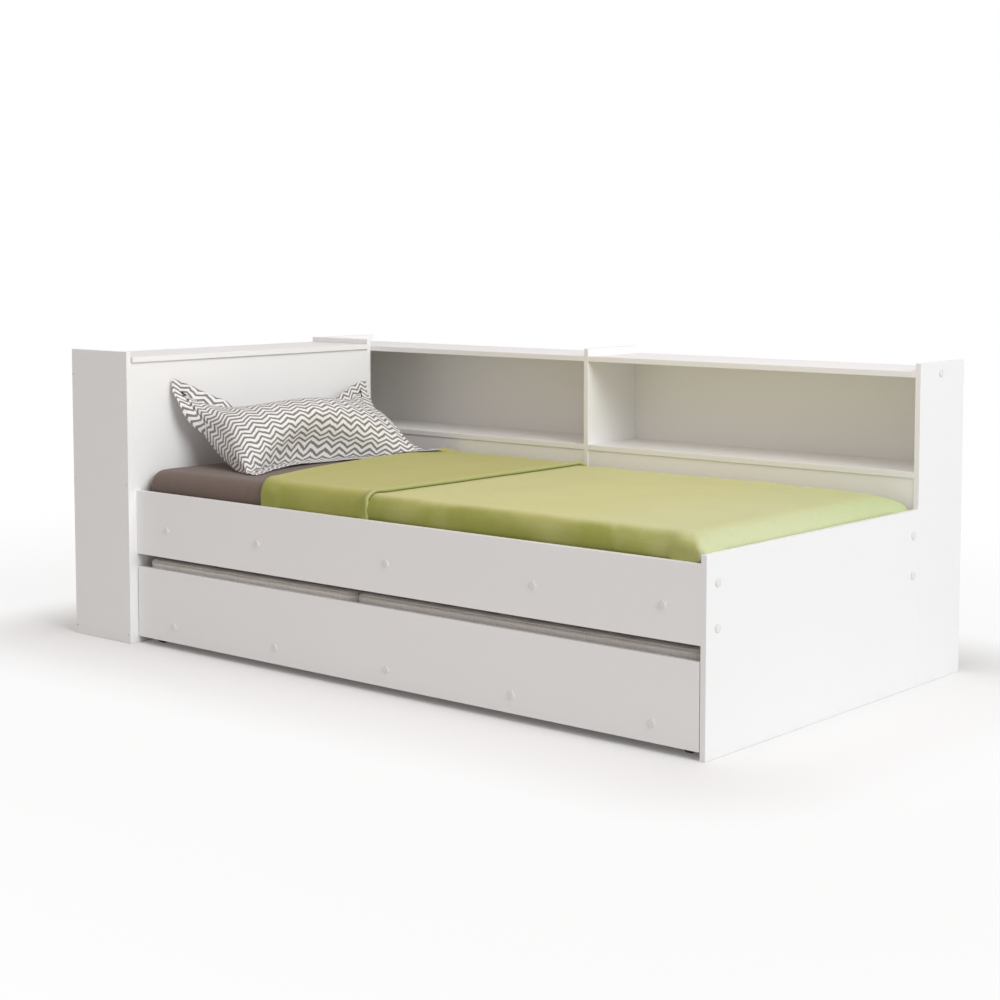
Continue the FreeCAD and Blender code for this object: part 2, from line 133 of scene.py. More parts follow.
class BedBeddingSettings(bpy.types.PropertyGroup):
    """Mattresses, sheet, throw and pillow."""
    sheet_colour: colour_setting("Sheet colour", "Colour of the fitted sheet", (0.190, 0.143, 0.121))
    throw_colour: colour_setting(
        "Throw colour", "Colour of the throw where light grazes its pile", (0.61, 0.588, 0.268))
    # Painted shade: colour put on the throw's front side in place of its shading.
    throw_painted_shade: colour_setting("Throw shade", "Greener colour in the throw's hollows", (0.32, 0.335, 0.082))
    # Painted shade: darker colour put on the throw's turned part, given as its other side.
    throw_turned_shade: colour_setting(
        "Throw reverse", "Colour of the throw's other side, on its turned part", (0.50, 0.468, 0.155))
    # Painted highlight: paler colour put on faces toward the foot, where the light falls.
    throw_painted_highlight: colour_setting(
        "Throw faded", "Paler colour of the throw round its foot end", (0.59, 0.655, 0.43))
    zigzag_colour: colour_setting(
        "Zigzag colour", "Colour of the pillowcase's printed lines", (0.235, 0.22, 0.215))
    zigzag_period: length_setting("Zigzag period", "Length of one zigzag", 0.052, 0.01)
    zigzag_pitch: length_setting("Zigzag pitch", "Distance between printed lines", 0.0168, 0.004)
    rim_radius: length_setting("Mattress rim", "Radius of the mattress's upper rim", 0.036, 0.01)
    corner_radius: length_setting("Mattress corner", "Radius of the mattress's upright corners", 0.055, 0.02)
    pillow_tilt_low: bpy.props.FloatProperty(
        name="Pillow tilt at the mattress", description="Slope of the pillow's lower edge",
        default=math.radians(14.0), subtype="ANGLE", unit="ROTATION")
    pillow_tilt_high: bpy.props.FloatProperty(
        name="Pillow tilt at the headboard", description="Slope of the pillow's upper edge",
        default=math.radians(52.0), subtype="ANGLE", unit="ROTATION")
    pillow_pressure: bpy.props.FloatProperty(
        name="Pillow filling", description="Air pressure that plumps the pillow", default=2.3, min=0.0)


# ---------------------------------------------------------------- shader helpers
class Signal:
    """Output of a shader node; adding, multiplying and so on put Math nodes after it."""

    def __init__(self, tree, socket):
        self.tree = tree
        self.socket = socket

    def calc(self, operation, *others, clamp=False):
        return calculated(self.tree, operation, self, *others, clamp=clamp)

    def __add__(self, other):
        return self.calc("ADD", other)

    def __sub__(self, other):
        return self.calc("SUBTRACT", other)

    def __rsub__(self, other):
        return calculated(self.tree, "SUBTRACT", other, self)

    def __mul__(self, other):
        return self.calc("MULTIPLY", other)

    def __truediv__(self, other):
        return self.calc("DIVIDE", other)

    def ramp(self, low, high, to_low=0.0, to_high=1.0):
        """Smooth passage from the range low to high to another range."""
        inputs = {"Value": self, "From Min": low, "From Max": high, "To Min": to_low, "To Max": to_high}
        node = add_node(self.tree, "ShaderNodeMapRange", inputs, interpolation_type="SMOOTHSTEP")
        return Signal(self.tree, node.outputs["Result"])


def feed(tree, node, inputs):
    """Puts signals, numbers, colours or vectors into a node's sockets."""
    for key, value in inputs.items():
        socket = node.inputs[key]
        if isinstance(value, Signal):
            tree.links.new(value.socket, socket)
        elif isinstance(value, (int, float)):
            socket.default_value = value
        else:
            socket.default_value = (*value, 1.0)[:len(socket.default_value)]


def add_node(tree, kind, inputs, **settings):
    node = tree.nodes.new(kind)
    for name, value in settings.items():
        setattr(node, name, value)
    feed(tree, node, inputs)
    return node


def calculated(tree, operation, *values, clamp=False):
    """Math node fed by signals or numbers."""
    node = add_node(tree, "ShaderNodeMath", dict(enumerate(values)), operation=operation, use_clamp=clamp)
    return Signal(tree, node.outputs[0])


def new_material(name):
    """Material with nothing but a Principled shader; gives its node tree and the shader."""
    material = bpy.data.materials.new(name)
    material.use_nodes = True
    tree = material.node_tree
    tree.nodes.clear()
    shader = tree.nodes.new("ShaderNodeBsdfPrincipled")
    add_node(tree, "ShaderNodeOutputMaterial", {"Surface": Signal(tree, shader.outputs["BSDF"])})
    return tree, shader


def coordinates(tree, uv=False):
    """Object coordinates, or the piece's own flat cloth coordinates in metres."""
    if uv:
        return Signal(tree, add_node(tree, "ShaderNodeUVMap", {}, uv_map="flat").outputs["UV"])
    return Signal(tree, tree.nodes.new("ShaderNodeTexCoord").outputs["Object"])


def attribute(tree, name):
    """A number kept on the piece's points."""
    return Signal(tree, add_node(tree, "ShaderNodeAttribute", {}, attribute_name=name).outputs["Fac"])


def axes(vector):
    """The X, Y and Z of a vector."""
    node = add_node(vector.tree, "ShaderNodeSeparateXYZ", {0: vector})
    return [Signal(vector.tree, socket) for socket in node.outputs]


def mapped(vector, scale=(1.0, 1.0, 1.0), location=(0.0, 0.0, 0.0), rotation=(0.0, 0.0, 0.0)):
    inputs = {"Vector": vector, "Scale": scale, "Location": location, "Rotation": rotation}
    return Signal(vector.tree, add_node(vector.tree, "ShaderNodeMapping", inputs).outputs["Vector"])


def noise_at(vector, scale, detail=3.0, roughness=0.5, distortion=0.0):
    inputs = {"Vector": vector, "Scale": scale, "Detail": detail, "Roughness": roughness,
              "Distortion": distortion}
    return Signal(vector.tree, add_node(vector.tree, "ShaderNodeTexNoise", inputs).outputs["Fac"])


def mix(factor, first, second, blend="MIX"):
    """Mix of two colours; at least one of the three values is a signal."""
    tree = next(value.tree for value in (factor, first, second) if isinstance(value, Signal))
    node = add_node(tree, "ShaderNodeMix", {0: factor, 6: first, 7: second}, data_type="RGBA",
                    blend_type=blend)
    return Signal(tree, node.outputs[2])


def tinted(colour, tone):
    return mix(1.0, colour, tone, "MULTIPLY")


def bump(height, distance, strength=1.0, normal=None):
    inputs = {"Height": height, "Distance": distance, "Strength": strength}
    if normal is not None:
        inputs["Normal"] = normal
    return Signal(height.tree, add_node(height.tree, "ShaderNodeBump", inputs).outputs["Normal"])


def new_group(name, outputs, **numbers):
    """Node group that takes a vector and these numbers; gives it, what it is given, and its output node."""
    group = bpy.data.node_groups.new(name, "ShaderNodeTree")
    group.interface.new_socket(name="Vector", in_out="INPUT", socket_type="NodeSocketVector")
    for socket, value in numbers.items():
        made = group.interface.new_socket(name=socket, in_out="INPUT", socket_type="NodeSocketFloat")
        made.default_value = value
    for socket in outputs:
        group.interface.new_socket(name=socket, in_out="OUTPUT", socket_type="NodeSocketFloat")
    given = group.nodes.new("NodeGroupInput")
    return (group, {socket.name: Signal(group, socket) for socket in given.outputs},
            group.nodes.new("NodeGroupOutput"))


# ---------------------------------------------------------------- effects shared by several materials
def woven_threads(name):
    """Plain weave: threads that pass over and under each other, with uneven thickness."""
    group, given, out = new_group(name, ("Height", "Shade"), Pitch=0.001, Slub=0.3)
    place = given["Vector"]
    waves = [(axis / given["Pitch"] * math.pi).calc("SINE") for axis in axes(place)]
    crossing = waves[0] * waves[1] + waves[2] * waves[0]
    stretched = ((30.0, 260.0, 260.0), (260.0, 30.0, 30.0))
    slubs = [noise_at(mapped(place, scale), 1.0, 2.0) for scale in stretched]
    uneven = (slubs[0] + slubs[1] - 1.0) * given["Slub"]
    feed(group, out, {"Height": crossing * 0.25 + 0.5 + uneven, "Shade": uneven + 1.0})
    return group


def tone_drift(name):
    """Slow change of tone over a surface, from 1 - Amount to 1 + Amount."""
    group, given, out = new_group(name, ("Tone",), Size=0.3, Amount=0.03)
    finer = calculated(group, "DIVIDE", 1.0, given["Size"])
    scaled = add_node(group, "ShaderNodeVectorMath", {0: given["Vector"], "Scale": finer}, operation="SCALE")
    drift = noise_at(Signal(group, scaled.outputs[0]), 1.0, 3.0, 0.55)
    feed(group, out, {"Tone": (drift - 0.5) * 2.0 * given["Amount"] + 1.0})
    return group


def settled_dust(name):
    """Dust and scuffs near the floor, as a mask from 0 to 1."""
    group, given, out = new_group(name, ("Mask",), Reach=0.08)
    place = given["Vector"]
    low = calculated(group, "SUBTRACT", 1.0, axes(place)[2] / given["Reach"], clamp=True)
    dust = low * noise_at(place, 9.0, 5.0, 0.65).ramp(0.3, 0.8)
    scuff = noise_at(mapped(place, (5.0, 5.0, 60.0)), 1.0, 4.0, 0.6).ramp(0.66, 0.8)
    feed(group, out, {"Mask": dust.calc("ADD", scuff * 0.35, clamp=True)})
    return group


def timber_grain(name):
    """Softwood grain that runs along X, with knots."""
    group, given, out = new_group(name, ("Grain", "Knot"))
    place = given["Vector"]
    bend = noise_at(mapped(place, (3.0, 9.0, 9.0)), 1.0, 2.0)
    _, y, z = axes(place)
    rings = ((y + z * 0.8) * 900.0 + bend * 16.0).calc("SINE") * 0.5 + 0.5
    fibre = noise_at(mapped(place, (14.0, 700.0, 700.0)), 1.0)
    spots = mapped(place, (5.0, 26.0, 26.0))
    cells = add_node(group, "ShaderNodeTexVoronoi", {"Vector": spots, "Scale": 1.0})
    knot = Signal(group, cells.outputs["Distance"]).ramp(0.07, 0.22, 1.0, 0.0)
    feed(group, out, {"Grain": rings * 0.6 + fibre * 0.4, "Knot": knot})
    return group


EFFECTS = {"woven_threads": woven_threads, "tone_drift": tone_drift, "settled_dust": settled_dust,
           "timber_grain": timber_grain}


def effect(name, vector, **values):
    """Puts a shared effect in a material with its own values; gives its outputs by name."""
    group = bpy.data.node_groups.get(name) or EFFECTS[name](name)
    node = add_node(vector.tree, "ShaderNodeGroup", {}, node_tree=group)
    feed(vector.tree, node, {"Vector": vector, **values})
    return {socket.name: Signal(vector.tree, socket) for socket in node.outputs}


def drifting(colour, vector, size, amount):
    """A colour whose tone drifts slowly over the surface."""
    return tinted(colour, effect("tone_drift", vector, Size=size, Amount=amount)["Tone"])


# ---------------------------------------------------------------- materials
def board_material(name, colour):
    """Melamine-faced board: faintly pebbled, dusty near the floor."""
    tree, shader = new_material(name)
    place = coordinates(tree)
    dust = effect("settled_dust", place, Reach=0.045)["Mask"]
    pebble = noise_at(place, 420.0, 2.0)
    wave = noise_at(place, 7.0, 1.0, 0.4)
    feed(tree, shader, {
        "Base Color": mix(dust * 0.10, drifting(colour, place, 0.35, 0.012), (0.62, 0.58, 0.53)),
        "Roughness": dust * 0.2 + 0.42, "Specular IOR Level": 0.42,
        "Normal": bump(pebble + wave * 1.5, 0.00025, 0.35)})


def hardboard_material(name, colour, back_plane):
    """White foil in front and bare brown fibre behind."""
    tree, shader = new_material(name)
    place = coordinates(tree)
    behind = axes(place)[1].calc("GREATER_THAN", back_plane)
    fibre = noise_at(place, 900.0, 4.0, 0.7)
    brown = mix(fibre, (0.30, 0.185, 0.10), (0.46, 0.30, 0.17))
    brown = mix(noise_at(place, 14.0) * 0.4, brown, (0.27, 0.16, 0.085))
    feed(tree, shader, {
        "Base Color": mix(behind, drifting(colour, place, 0.5, 0.015), brown),
        "Roughness": behind * 0.4 + 0.45, "Normal": bump(fibre * (behind + 0.15), 0.0003, 0.4)})


def timber_material(name, colour, rotation):
    """Planed pine, its grain turned along the piece."""
    tree, shader = new_material(name)
    place = mapped(coordinates(tree), rotation=rotation)
    wood = effect("timber_grain", place)
    dark = [c * k for c, k in zip(colour, (0.72, 0.62, 0.52))]
    base = mix(wood["Knot"] * 0.8, mix(wood["Grain"] * 0.8, colour, dark), (0.20, 0.10, 0.045))
    feed(tree, shader, {
        "Base Color": drifting(base, place, 0.12, 0.10),
        "Roughness": wood["Grain"].ramp(0.0, 1.0, 0.52, 0.68), "Normal": bump(wood["Grain"], 0.0002, 0.5)})


def steel_material(name):
    """Zinc-plated sheet with a faint rolled grain."""
    tree, shader = new_material(name)
    place = coordinates(tree)
    rolled = noise_at(mapped(place, (60.0, 900.0, 60.0)), 1.0)
    feed(tree, shader, {
        "Base Color": mix(noise_at(place, 120.0, 2.0), (0.60, 0.60, 0.60), (0.75, 0.755, 0.77)),
        "Metallic": 1.0, "Roughness": rolled.ramp(0.2, 0.8, 0.26, 0.42),
        "Normal": bump(rolled, 0.00008, 0.5)})


def moulded_material(name, colour, roughness, pebble_scale=700.0):
    """Moulded plastic with a fine pebble and slight variation."""
    tree, shader = new_material(name)
    place = coordinates(tree)
    pebble = noise_at(place, pebble_scale, 2.0)
    feed(tree, shader, {
        "Base Color": drifting(colour, place, 0.02, 0.04),
        "Roughness": pebble.ramp(0.2, 0.8, roughness - 0.06, roughness + 0.08),
        "Normal": bump(pebble, 0.00006, 0.4)})


def cloth_material(name, colour, pitch, drift, uv=False, sheen=0.15, rumple=0.0):
    """Woven cloth: threads, slubs and a slow change of tone."""
    tree, shader = new_material(name)
    place = coordinates(tree, uv)
    weave = effect("woven_threads", place, Pitch=pitch, Slub=0.25)
    soft = bump(noise_at(place, 16.0, 4.0, 0.55, 0.4), rumple, 0.6) if rumple else None
    feed(tree, shader, {
        "Base Color": tinted(drifting(colour, place, 0.25, drift), weave["Shade"]),
        "Roughness": weave["Height"].ramp(0.2, 0.8, 0.91, 0.81), "Specular IOR Level": 0.2,
        "Sheen Weight": sheen, "Sheen Roughness": 0.45,
        "Normal": bump(weave["Height"], 0.00025, 0.6, soft)})


def throw_material(name, light, shade, turned_shade, highlight):
    """Brushed blanket cloth. Painted shade: greener down its front side, in noisy patches, and darker on its
    turned part. Painted light: paler on faces toward the foot and brighter toward the foot end.
    """
    tree, shader = new_material(name)
    place = coordinates(tree, uv=True)
    x, y, _ = axes(coordinates(tree))
    weave = effect("woven_threads", place, Pitch=0.0016, Slub=0.10)
    cloud = noise_at(place, 3.4, 3.0, 0.55, 0.3)
    uneven = (noise_at(place, 11.0, 3.0, 0.55, 0.2) - 0.5) * 0.9
    # Painted shade: the side facing the front takes the shade colour, broken up by noise.
    front = attribute(tree, "front_face")
    side_shade_mask = (front + front * uneven).ramp(0.12, 0.80) * cloud.ramp(0.36, 0.62, 0.68, 1.0)
    side_shade_mask = side_shade_mask.calc("ADD", cloud.ramp(0.40, 0.66) * 0.08, clamp=True)
    # Painted highlight: faces toward the foot end take a paler colour below.
    foot = attribute(tree, "foot_face").ramp(0.02, 0.45)
    turned = axes(place)[0].ramp(-0.004, 0.016)
    hem = foot * turned
    hem_painted_colour = [a + 0.35 * (b - a) for a, b in zip(shade, highlight)]
    # The turned part takes a darker colour: painted shade.
    base = mix(side_shade_mask, mix(turned, light, turned_shade), shade)
    # Where the turned hem faces the foot it takes a colour between the painted shade and the painted
    # highlight: painted light on the hem.
    base = mix(hem * 0.80, base, hem_painted_colour)
    # Painted light growing toward the foot end, outside the painted shade.
    painted_light_toward_foot = x.ramp(0.50, 1.02, 0.0, 0.42) * (1.0 - side_shade_mask)
    painted_highlight = mix(y.ramp(-0.25, 0.33, 0.0, 0.8), highlight, (0.49, 0.60, 0.33))
    base = mix(((foot - hem) * 0.75).calc("MAXIMUM", painted_light_toward_foot), base, painted_highlight)
    # The colour also brightens toward the foot end: painted light.
    base = tinted(tinted(base, x.ramp(0.0, 1.0, 1.02, 1.06)), weave["Shade"])
    nap = noise_at(place, 38.0, 4.0, 0.6)
    fuzz = noise_at(place, 620.0, 3.0, 0.6) * 0.5 + weave["Height"]
    feed(tree, shader, {
        "Base Color": base, "Roughness": nap.ramp(0.3, 0.7, 0.80, 0.95), "Specular IOR Level": 0.12,
        "Sheen Weight": 0.35, "Sheen Roughness": 0.35, "Sheen Tint": (0.93, 0.96, 0.72),
        "Normal": bump(fuzz, 0.0003, 0.5, bump(nap, 0.0012, 0.35))})


def zigzag_material(name, ink, period, pitch):
    """Printed cotton: zigzag lines along the pillow on white."""
    tree, shader = new_material(name)
    place = coordinates(tree, uv=True)
    wobble = noise_at(place, 22.0)
    sway = noise_at(mapped(place, location=(3.0, 1.0, 0.0)), 17.0, 2.0)
    along, up, _ = axes(place)
    rise = saw_teeth(along / period + sway * 0.35) * 1.8
    line = saw_teeth(up / pitch + rise + wobble * 0.9).ramp(0.19, 0.25, 1.0, 0.0)
    weave = effect("woven_threads", place, Pitch=0.0008, Slub=0.20)
    tone = effect("tone_drift", place, Size=0.10, Amount=0.04)["Tone"]
    base = mix(line, tinted((0.86, 0.845, 0.83), tone), tinted(ink, tone))
    crease = bump(noise_at(place, 24.0, 4.0, 0.55, 0.6), 0.0020, 0.5)
    feed(tree, shader, {
        "Base Color": tinted(base, weave["Shade"]), "Roughness": weave["Height"].ramp(0.2, 0.8, 0.86, 0.76),
        "Sheen Weight": 0.08, "Specular IOR Level": 0.2,
        "Normal": bump(weave["Height"], 0.00018, 0.5, crease)})


def saw_teeth(value):
    """Up and down between 0 and a half, once for each unit of the value."""
    return (value.calc("FRACT") - 0.5).calc("ABSOLUTE")


def finish(name):
    """Material of that name, made once from the settings."""
    boards = bpy.context.scene.bed_boards
    bedding = bpy.context.scene.bed_bedding
    quarter = math.pi / 2
    foil = [c * k for c, k in zip(boards.board_colour, (1.0, 0.985, 0.955))]
    bare_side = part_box(HARDBOARD_NODES[0])[1].y - 0.0008
    makers = {
        "white_melamine": lambda: board_material(name, boards.board_colour),
        "white_foil_hardboard": lambda: hardboard_material(name, foil, bare_side),
        "pine_along_bed": lambda: timber_material(name, boards.timber_colour, (0.0, 0.0, 0.0)),
        "pine_across_bed": lambda: timber_material(name, boards.timber_colour, (0.0, 0.0, quarter)),
        "pine_upright": lambda: timber_material(name, boards.timber_colour, (0.0, quarter, 0.0)),
        "zinc_plate": lambda: steel_material(name),
        "cover_plastic": lambda: moulded_material(name, (0.80, 0.79, 0.775), 0.34),
        "wheel_nylon": lambda: moulded_material(name, (0.055, 0.055, 0.06), 0.42, 300.0),
        "mattress_ticking": lambda: cloth_material(name, (0.80, 0.78, 0.74), 0.0016, 0.03, rumple=0.002),
        "guest_ticking": lambda: cloth_material(name, (0.95, 0.92, 0.88), 0.0018, 0.05, rumple=0.002),
        "piping": lambda: cloth_material(name, (0.70, 0.67, 0.62), 0.0012, 0.03),
        "brown_cotton": lambda: cloth_material(
            name, bedding.sheet_colour, 0.0009, 0.04, uv=True, sheen=0.12, rumple=0.0015),
        "green_blanket": lambda: throw_material(
            name, bedding.throw_colour, bedding.throw_painted_shade, bedding.throw_turned_shade, bedding.throw_painted_highlight),
        "zigzag_cotton": lambda: zigzag_material(
            name, bedding.zigzag_colour, bedding.zigzag_period, bedding.zigzag_pitch),
    }
    if name not in bpy.data.materials:
        makers[name]()
    return bpy.data.materials[name]


# ---------------------------------------------------------------- modelling helpers
def start_clean():
    """Object mode with nothing selected."""
    if bpy.context.object and bpy.context.object.mode != "OBJECT":
        bpy.ops.object.mode_set(mode="OBJECT")
    bpy.ops.object.select_all(action="DESELECT")


def added(name):
    """The primitive just added, renamed, with its place taken into its mesh."""
    piece = bpy.context.object
    piece.name = name
    piece.data.name = name
    bpy.ops.object.transform_apply(location=True, rotation=True, scale=True)
    return piece


def add_box(name, low, high):
    start_clean()
    middle = [(a + b) / 2 for a, b in zip(low, high)]
    bpy.ops.mesh.primitive_cube_add(size=1.0, location=middle)
    bpy.context.object.scale = [b - a for a, b in zip(low, high)]
    return added(name)


def add_drum(name, radius, depth, level=0.0, sides=24):
    """Cylinder round the Z axis, its middle at that level."""
    start_clean()
    bpy.ops.mesh.primitive_cylinder_add(
        vertices=sides, radius=radius, depth=depth, location=(0.0, 0.0, level))
    return added(name)


def only(piece):
    """Makes one piece the selected and active one."""
    start_clean()
    piece.select_set(True)
    bpy.context.view_layer.objects.active = piece
    return piece


def edit_faces(piece, wanted):
    """Enters edit mode with only the wanted faces selected."""
    only(piece)
    bpy.ops.object.mode_set(mode="EDIT")
    bpy.ops.mesh.select_mode(type="FACE")
    bpy.ops.mesh.select_all(action="DESELECT")
    bpy.ops.object.mode_set(mode="OBJECT")
    for face in piece.data.polygons:
        face.select = wanted(face)
    bpy.ops.object.mode_set(mode="EDIT")


def leave_edit():
    bpy.ops.object.mode_set(mode="OBJECT")


def edit_top(piece, steps):
    """Insets the top face and lifts it, once for each pair of a breadth and a rise."""
    edit_faces(piece, lambda face: face.normal.z > 0.99)
    for breadth, rise in steps:
        bpy.ops.mesh.inset(thickness=breadth)
        bpy.ops.transform.translate(value=(0.0, 0.0, rise))
    leave_edit()


def apply_modifier(piece, kind, **values):
    only(piece)
    modifier = piece.modifiers.new(kind.title(), kind)
    for name, value in values.items():
        setattr(modifier, name, value)
    bpy.ops.object.modifier_apply(modifier=modifier.name)


def cut(piece, tool):
    """Cuts the tool out of the piece and takes the tool away."""
    apply_modifier(piece, "BOOLEAN", operation="DIFFERENCE", solver="EXACT", object=tool)
    discard(tool)


def discard(piece):
    mesh = piece.data
    bpy.data.objects.remove(piece)
    bpy.data.meshes.remove(mesh)


def copies(master, name, places):
    """One piece made of copies of the master, each with its own mesh, moved by the given matrices."""
    made = []
    for number, place in enumerate(places):
        copy = bpy.data.objects.new("%s_%d" % (name, number), master.data.copy())
        bpy.context.scene.collection.objects.link(copy)
        copy.data.transform(place)
        made.append(copy)
    start_clean()
    for copy in made:
        copy.select_set(True)
    bpy.context.view_layer.objects.active = made[0]
    if len(made) > 1:
        bpy.ops.object.join()
    made[0].name = name
    made[0].data.name = name
    return made[0]


def facing(point, direction):
    """Moves a piece modelled on the XY plane so that its +Z looks along direction at the point."""
    turn = Vector(direction).to_track_quat("Z", "Y").to_matrix().to_4x4()
    return Matrix.Translation(Vector(point)) @ turn


def dress(piece, material, angle, body, node=None):
    """Gives a piece its finish, smooth shading up to that angle, its body and the CAD node it replaces."""
    piece.data.materials.clear()
    piece.data.materials.append(finish(material))
    only(piece)
    bpy.ops.object.shade_smooth_by_angle(angle=math.radians(angle))
    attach(piece, body)
    if node:
        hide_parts(node)
    return piece


# ---------------------------------------------------------------- the stage
WHITE = (1.0, 1.0, 1.0)
CAMERA_PLACE = (3.37715, -3.9168, 1.1116)
CAMERA_TURN = (math.radians(85.384), 0.0, math.radians(40.63))


def seen_plainly(tree):
    """1 for what the camera sees, also in a reflection or through glass, otherwise 0."""
    rays = tree.nodes.new("ShaderNodeLightPath")
    camera, glossy, through = (Signal(tree, rays.outputs["Is %s Ray" % kind])
                               for kind in ("Camera", "Glossy", "Transmission"))
    return camera.calc("MAXIMUM", glossy).calc("MAXIMUM", through)


def blended(tree, factor, first, second, output):
    """Puts a mix of two shaders into the output node."""
    shaders = [Signal(tree, node.outputs[0]) for node in (first, second)]
    blend = add_node(tree, "ShaderNodeMixShader", {0: factor, 1: shaders[0], 2: shaders[1]})
    tree.links.new(blend.outputs[0], output.inputs["Surface"])


class BedStage(bpy.types.Operator):
    """Floor, light, world and camera"""
    bl_idname = "bed.stage"
    bl_label = "Stage"

    def execute(self, context):
        settings = context.scene.bed_stage
        self.floor()
        self.world(settings.ambient)
        self.lamp("key_light", (15.6, -2.6, 8.6), (0.1, -0.1, 0.4), 9.0, settings.key_power,
                  (0.882, 0.967, 1.0))
        self.lamp("fill_light", (0.9, -0.5, 2.3), (-0.8, 0.1, 0.5), 1.4, settings.fill_power,
                  (1.0, 0.90, 0.89))
        self.camera(settings.lens)
        context.scene.view_settings.view_transform = "Standard"
        return {"FINISHED"}

    def floor(self):
        """Pale floor that keeps the shadow and turns white away from the bed."""
        start_clean()
        bpy.ops.mesh.primitive_plane_add(size=60.0, location=(0.0, 0.0, -0.0005))
        piece = added("studio_floor")
        tree, shader = new_material("studio_floor")
        seen = seen_plainly(tree)
        feed(tree, shader, {"Base Color": (0.86, 0.86, 0.858), "Roughness": 0.85, "Emission Color": WHITE,
                            "Emission Strength": seen * 0.09})
        x, y, _ = axes(coordinates(tree))
        beyond = [(axis.calc("ABSOLUTE") - half).calc("MAXIMUM", 0.0).calc("POWER", 2.0)
                  for axis, half in ((x, CAD_HIGH.x), (y, CAD_HIGH.y))]
        reach = (beyond[0] + beyond[1]).calc("SQRT")
        fade = reach.ramp(0.02, 0.50, 0.0, 0.84) + reach.ramp(0.50, 2.4, 0.0, 0.16)
        glow = add_node(tree, "ShaderNodeEmission", {"Color": WHITE})
        output = next(node for node in tree.nodes if node.type == "OUTPUT_MATERIAL")
        blended(tree, fade * seen, shader, glow, output)
        piece.data.materials.append(bpy.data.materials["studio_floor"])

    def world(self, strength):
        world = bpy.data.worlds.new("studio")
        bpy.context.scene.world = world
        world.use_nodes = True
        tree = world.node_tree
        tree.nodes.clear()
        even = add_node(tree, "ShaderNodeBackground", {"Color": (1.0, 0.917, 0.885), "Strength": strength})
        white = add_node(tree, "ShaderNodeBackground", {"Color": WHITE})
        blended(tree, seen_plainly(tree), even, white, tree.nodes.new("ShaderNodeOutputWorld"))

    def lamp(self, name, place, target, size, power, colour):
        data = bpy.data.lights.new(name, "AREA")
        data.shape = "SQUARE"
        data.size = size
        data.energy = power
        data.color = colour
        lamp = bpy.data.objects.new(name, data)
        bpy.context.scene.collection.objects.link(lamp)
        lamp.location = place
        lamp.rotation_euler = (Vector(target) - Vector(place)).to_track_quat("-Z", "Y").to_euler()
        lamp.visible_camera = False

    def camera(self, lens):
        data = bpy.data.cameras.new("camera")
        data.lens = lens
        data.sensor_width = 36.0
        data.shift_y = -0.1
        data.clip_end = 100.0
        camera = bpy.data.objects.new("camera", data)
        bpy.context.scene.collection.objects.link(camera)
        camera.location = CAMERA_PLACE
        camera.rotation_euler = CAMERA_TURN
        bpy.context.scene.camera = camera


# ---------------------------------------------------------------- boards, timber and metalwork
def repaint(nodes, name):
    """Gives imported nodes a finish; their meshes stay as they are."""
    for node in nodes:
        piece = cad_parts[node]
        if not piece.material_slots:
            piece.data.materials.append(finish(name))
        for socket in piece.material_slots:
            socket.material = finish(name)


class BedBoards(bpy.types.Operator):
    """White faced boards and the bookcase's hardboard backs"""
    bl_idname = "bed.boards"
    bl_label = "Boards"

    def execute(self, context):
        repaint(BOARD_NODES, "white_melamine")
        repaint(HARDBOARD_NODES, "white_foil_hardboard")
        return {"FINISHED"}


class BedTimber(bpy.types.Operator):
    """Slats, ledgers, posts, cleats and castor blocks"""
    bl_idname = "bed.timber"
    bl_label = "Timber"

    def execute(self, context):
        repaint(TIMBER_ALONG_X, "pine_along_bed")
        repaint(TIMBER_ALONG_Y, "pine_across_bed")
        repaint(TIMBER_ALONG_Z, "pine_upright")
        return {"FINISHED"}


class BedMetalwork(bpy.types.Operator):
    """Hinges, rail brackets, castor brackets and axles"""
    bl_idname = "bed.metalwork"
    bl_label = "Metalwork"

    def execute(self, context):
        repaint(STEEL_NODES, "zinc_plate")
        return {"FINISHED"}


class BedWheels(bpy.types.Operator):
    """Moulded castor wheels with a rounded tread, a web and a hub"""
    bl_idname = "bed.wheels"
    bl_label = "Castor wheels"

    ROUND = 0.0022          # of the tread's edges, and the rim's breadth
    WEB_DEPTH = 0.0042
    WEB_BREADTH = 0.0062
    HUB_RISE = 0.0038
    HUB_EDGE = 0.0011
    BORE_RADIUS = 0.00305

    def execute(self, context):
        low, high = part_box(WHEEL_NODES[0])
        master = self.wheel((high.z - low.z) / 2, high.x - low.x)
        for node in WHEEL_NODES:
            low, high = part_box(node)
            turn = Matrix.Translation((low + high) / 2) @ Matrix.Rotation(math.pi / 2, 4, "Y")
            piece = copies(master, node.replace("castor_wheel", "moulded_wheel"), [turn])
            body = node.replace("castor_wheel", "wheel")
            dress(piece, "wheel_nylon", 40.0, body, node=node)
        discard(master)
        return {"FINISHED"}

    def wheel(self, radius, width):
        piece = add_drum("wheel_master", radius, width, sides=48)
        apply_modifier(piece, "BEVEL", width=self.ROUND, segments=3, limit_method="ANGLE")
        for side in (1.0, -1.0):
            edit_faces(piece, lambda face: face.normal.z * side > 0.99 and len(face.vertices) > 8
                       and face.center.z * side > width / 2 - 1e-5)
            for breadth, rise in ((self.ROUND, -self.WEB_DEPTH), (self.WEB_BREADTH, self.HUB_RISE)):
                bpy.ops.mesh.inset(thickness=breadth)
                bpy.ops.mesh.extrude_region_move(TRANSFORM_OT_translate={"value": (0.0, 0.0, rise * side)})
            bpy.ops.mesh.inset(thickness=self.HUB_EDGE)
            leave_edit()
        cut(piece, add_drum("bore", self.BORE_RADIUS, width * 2, sides=32))
        return piece


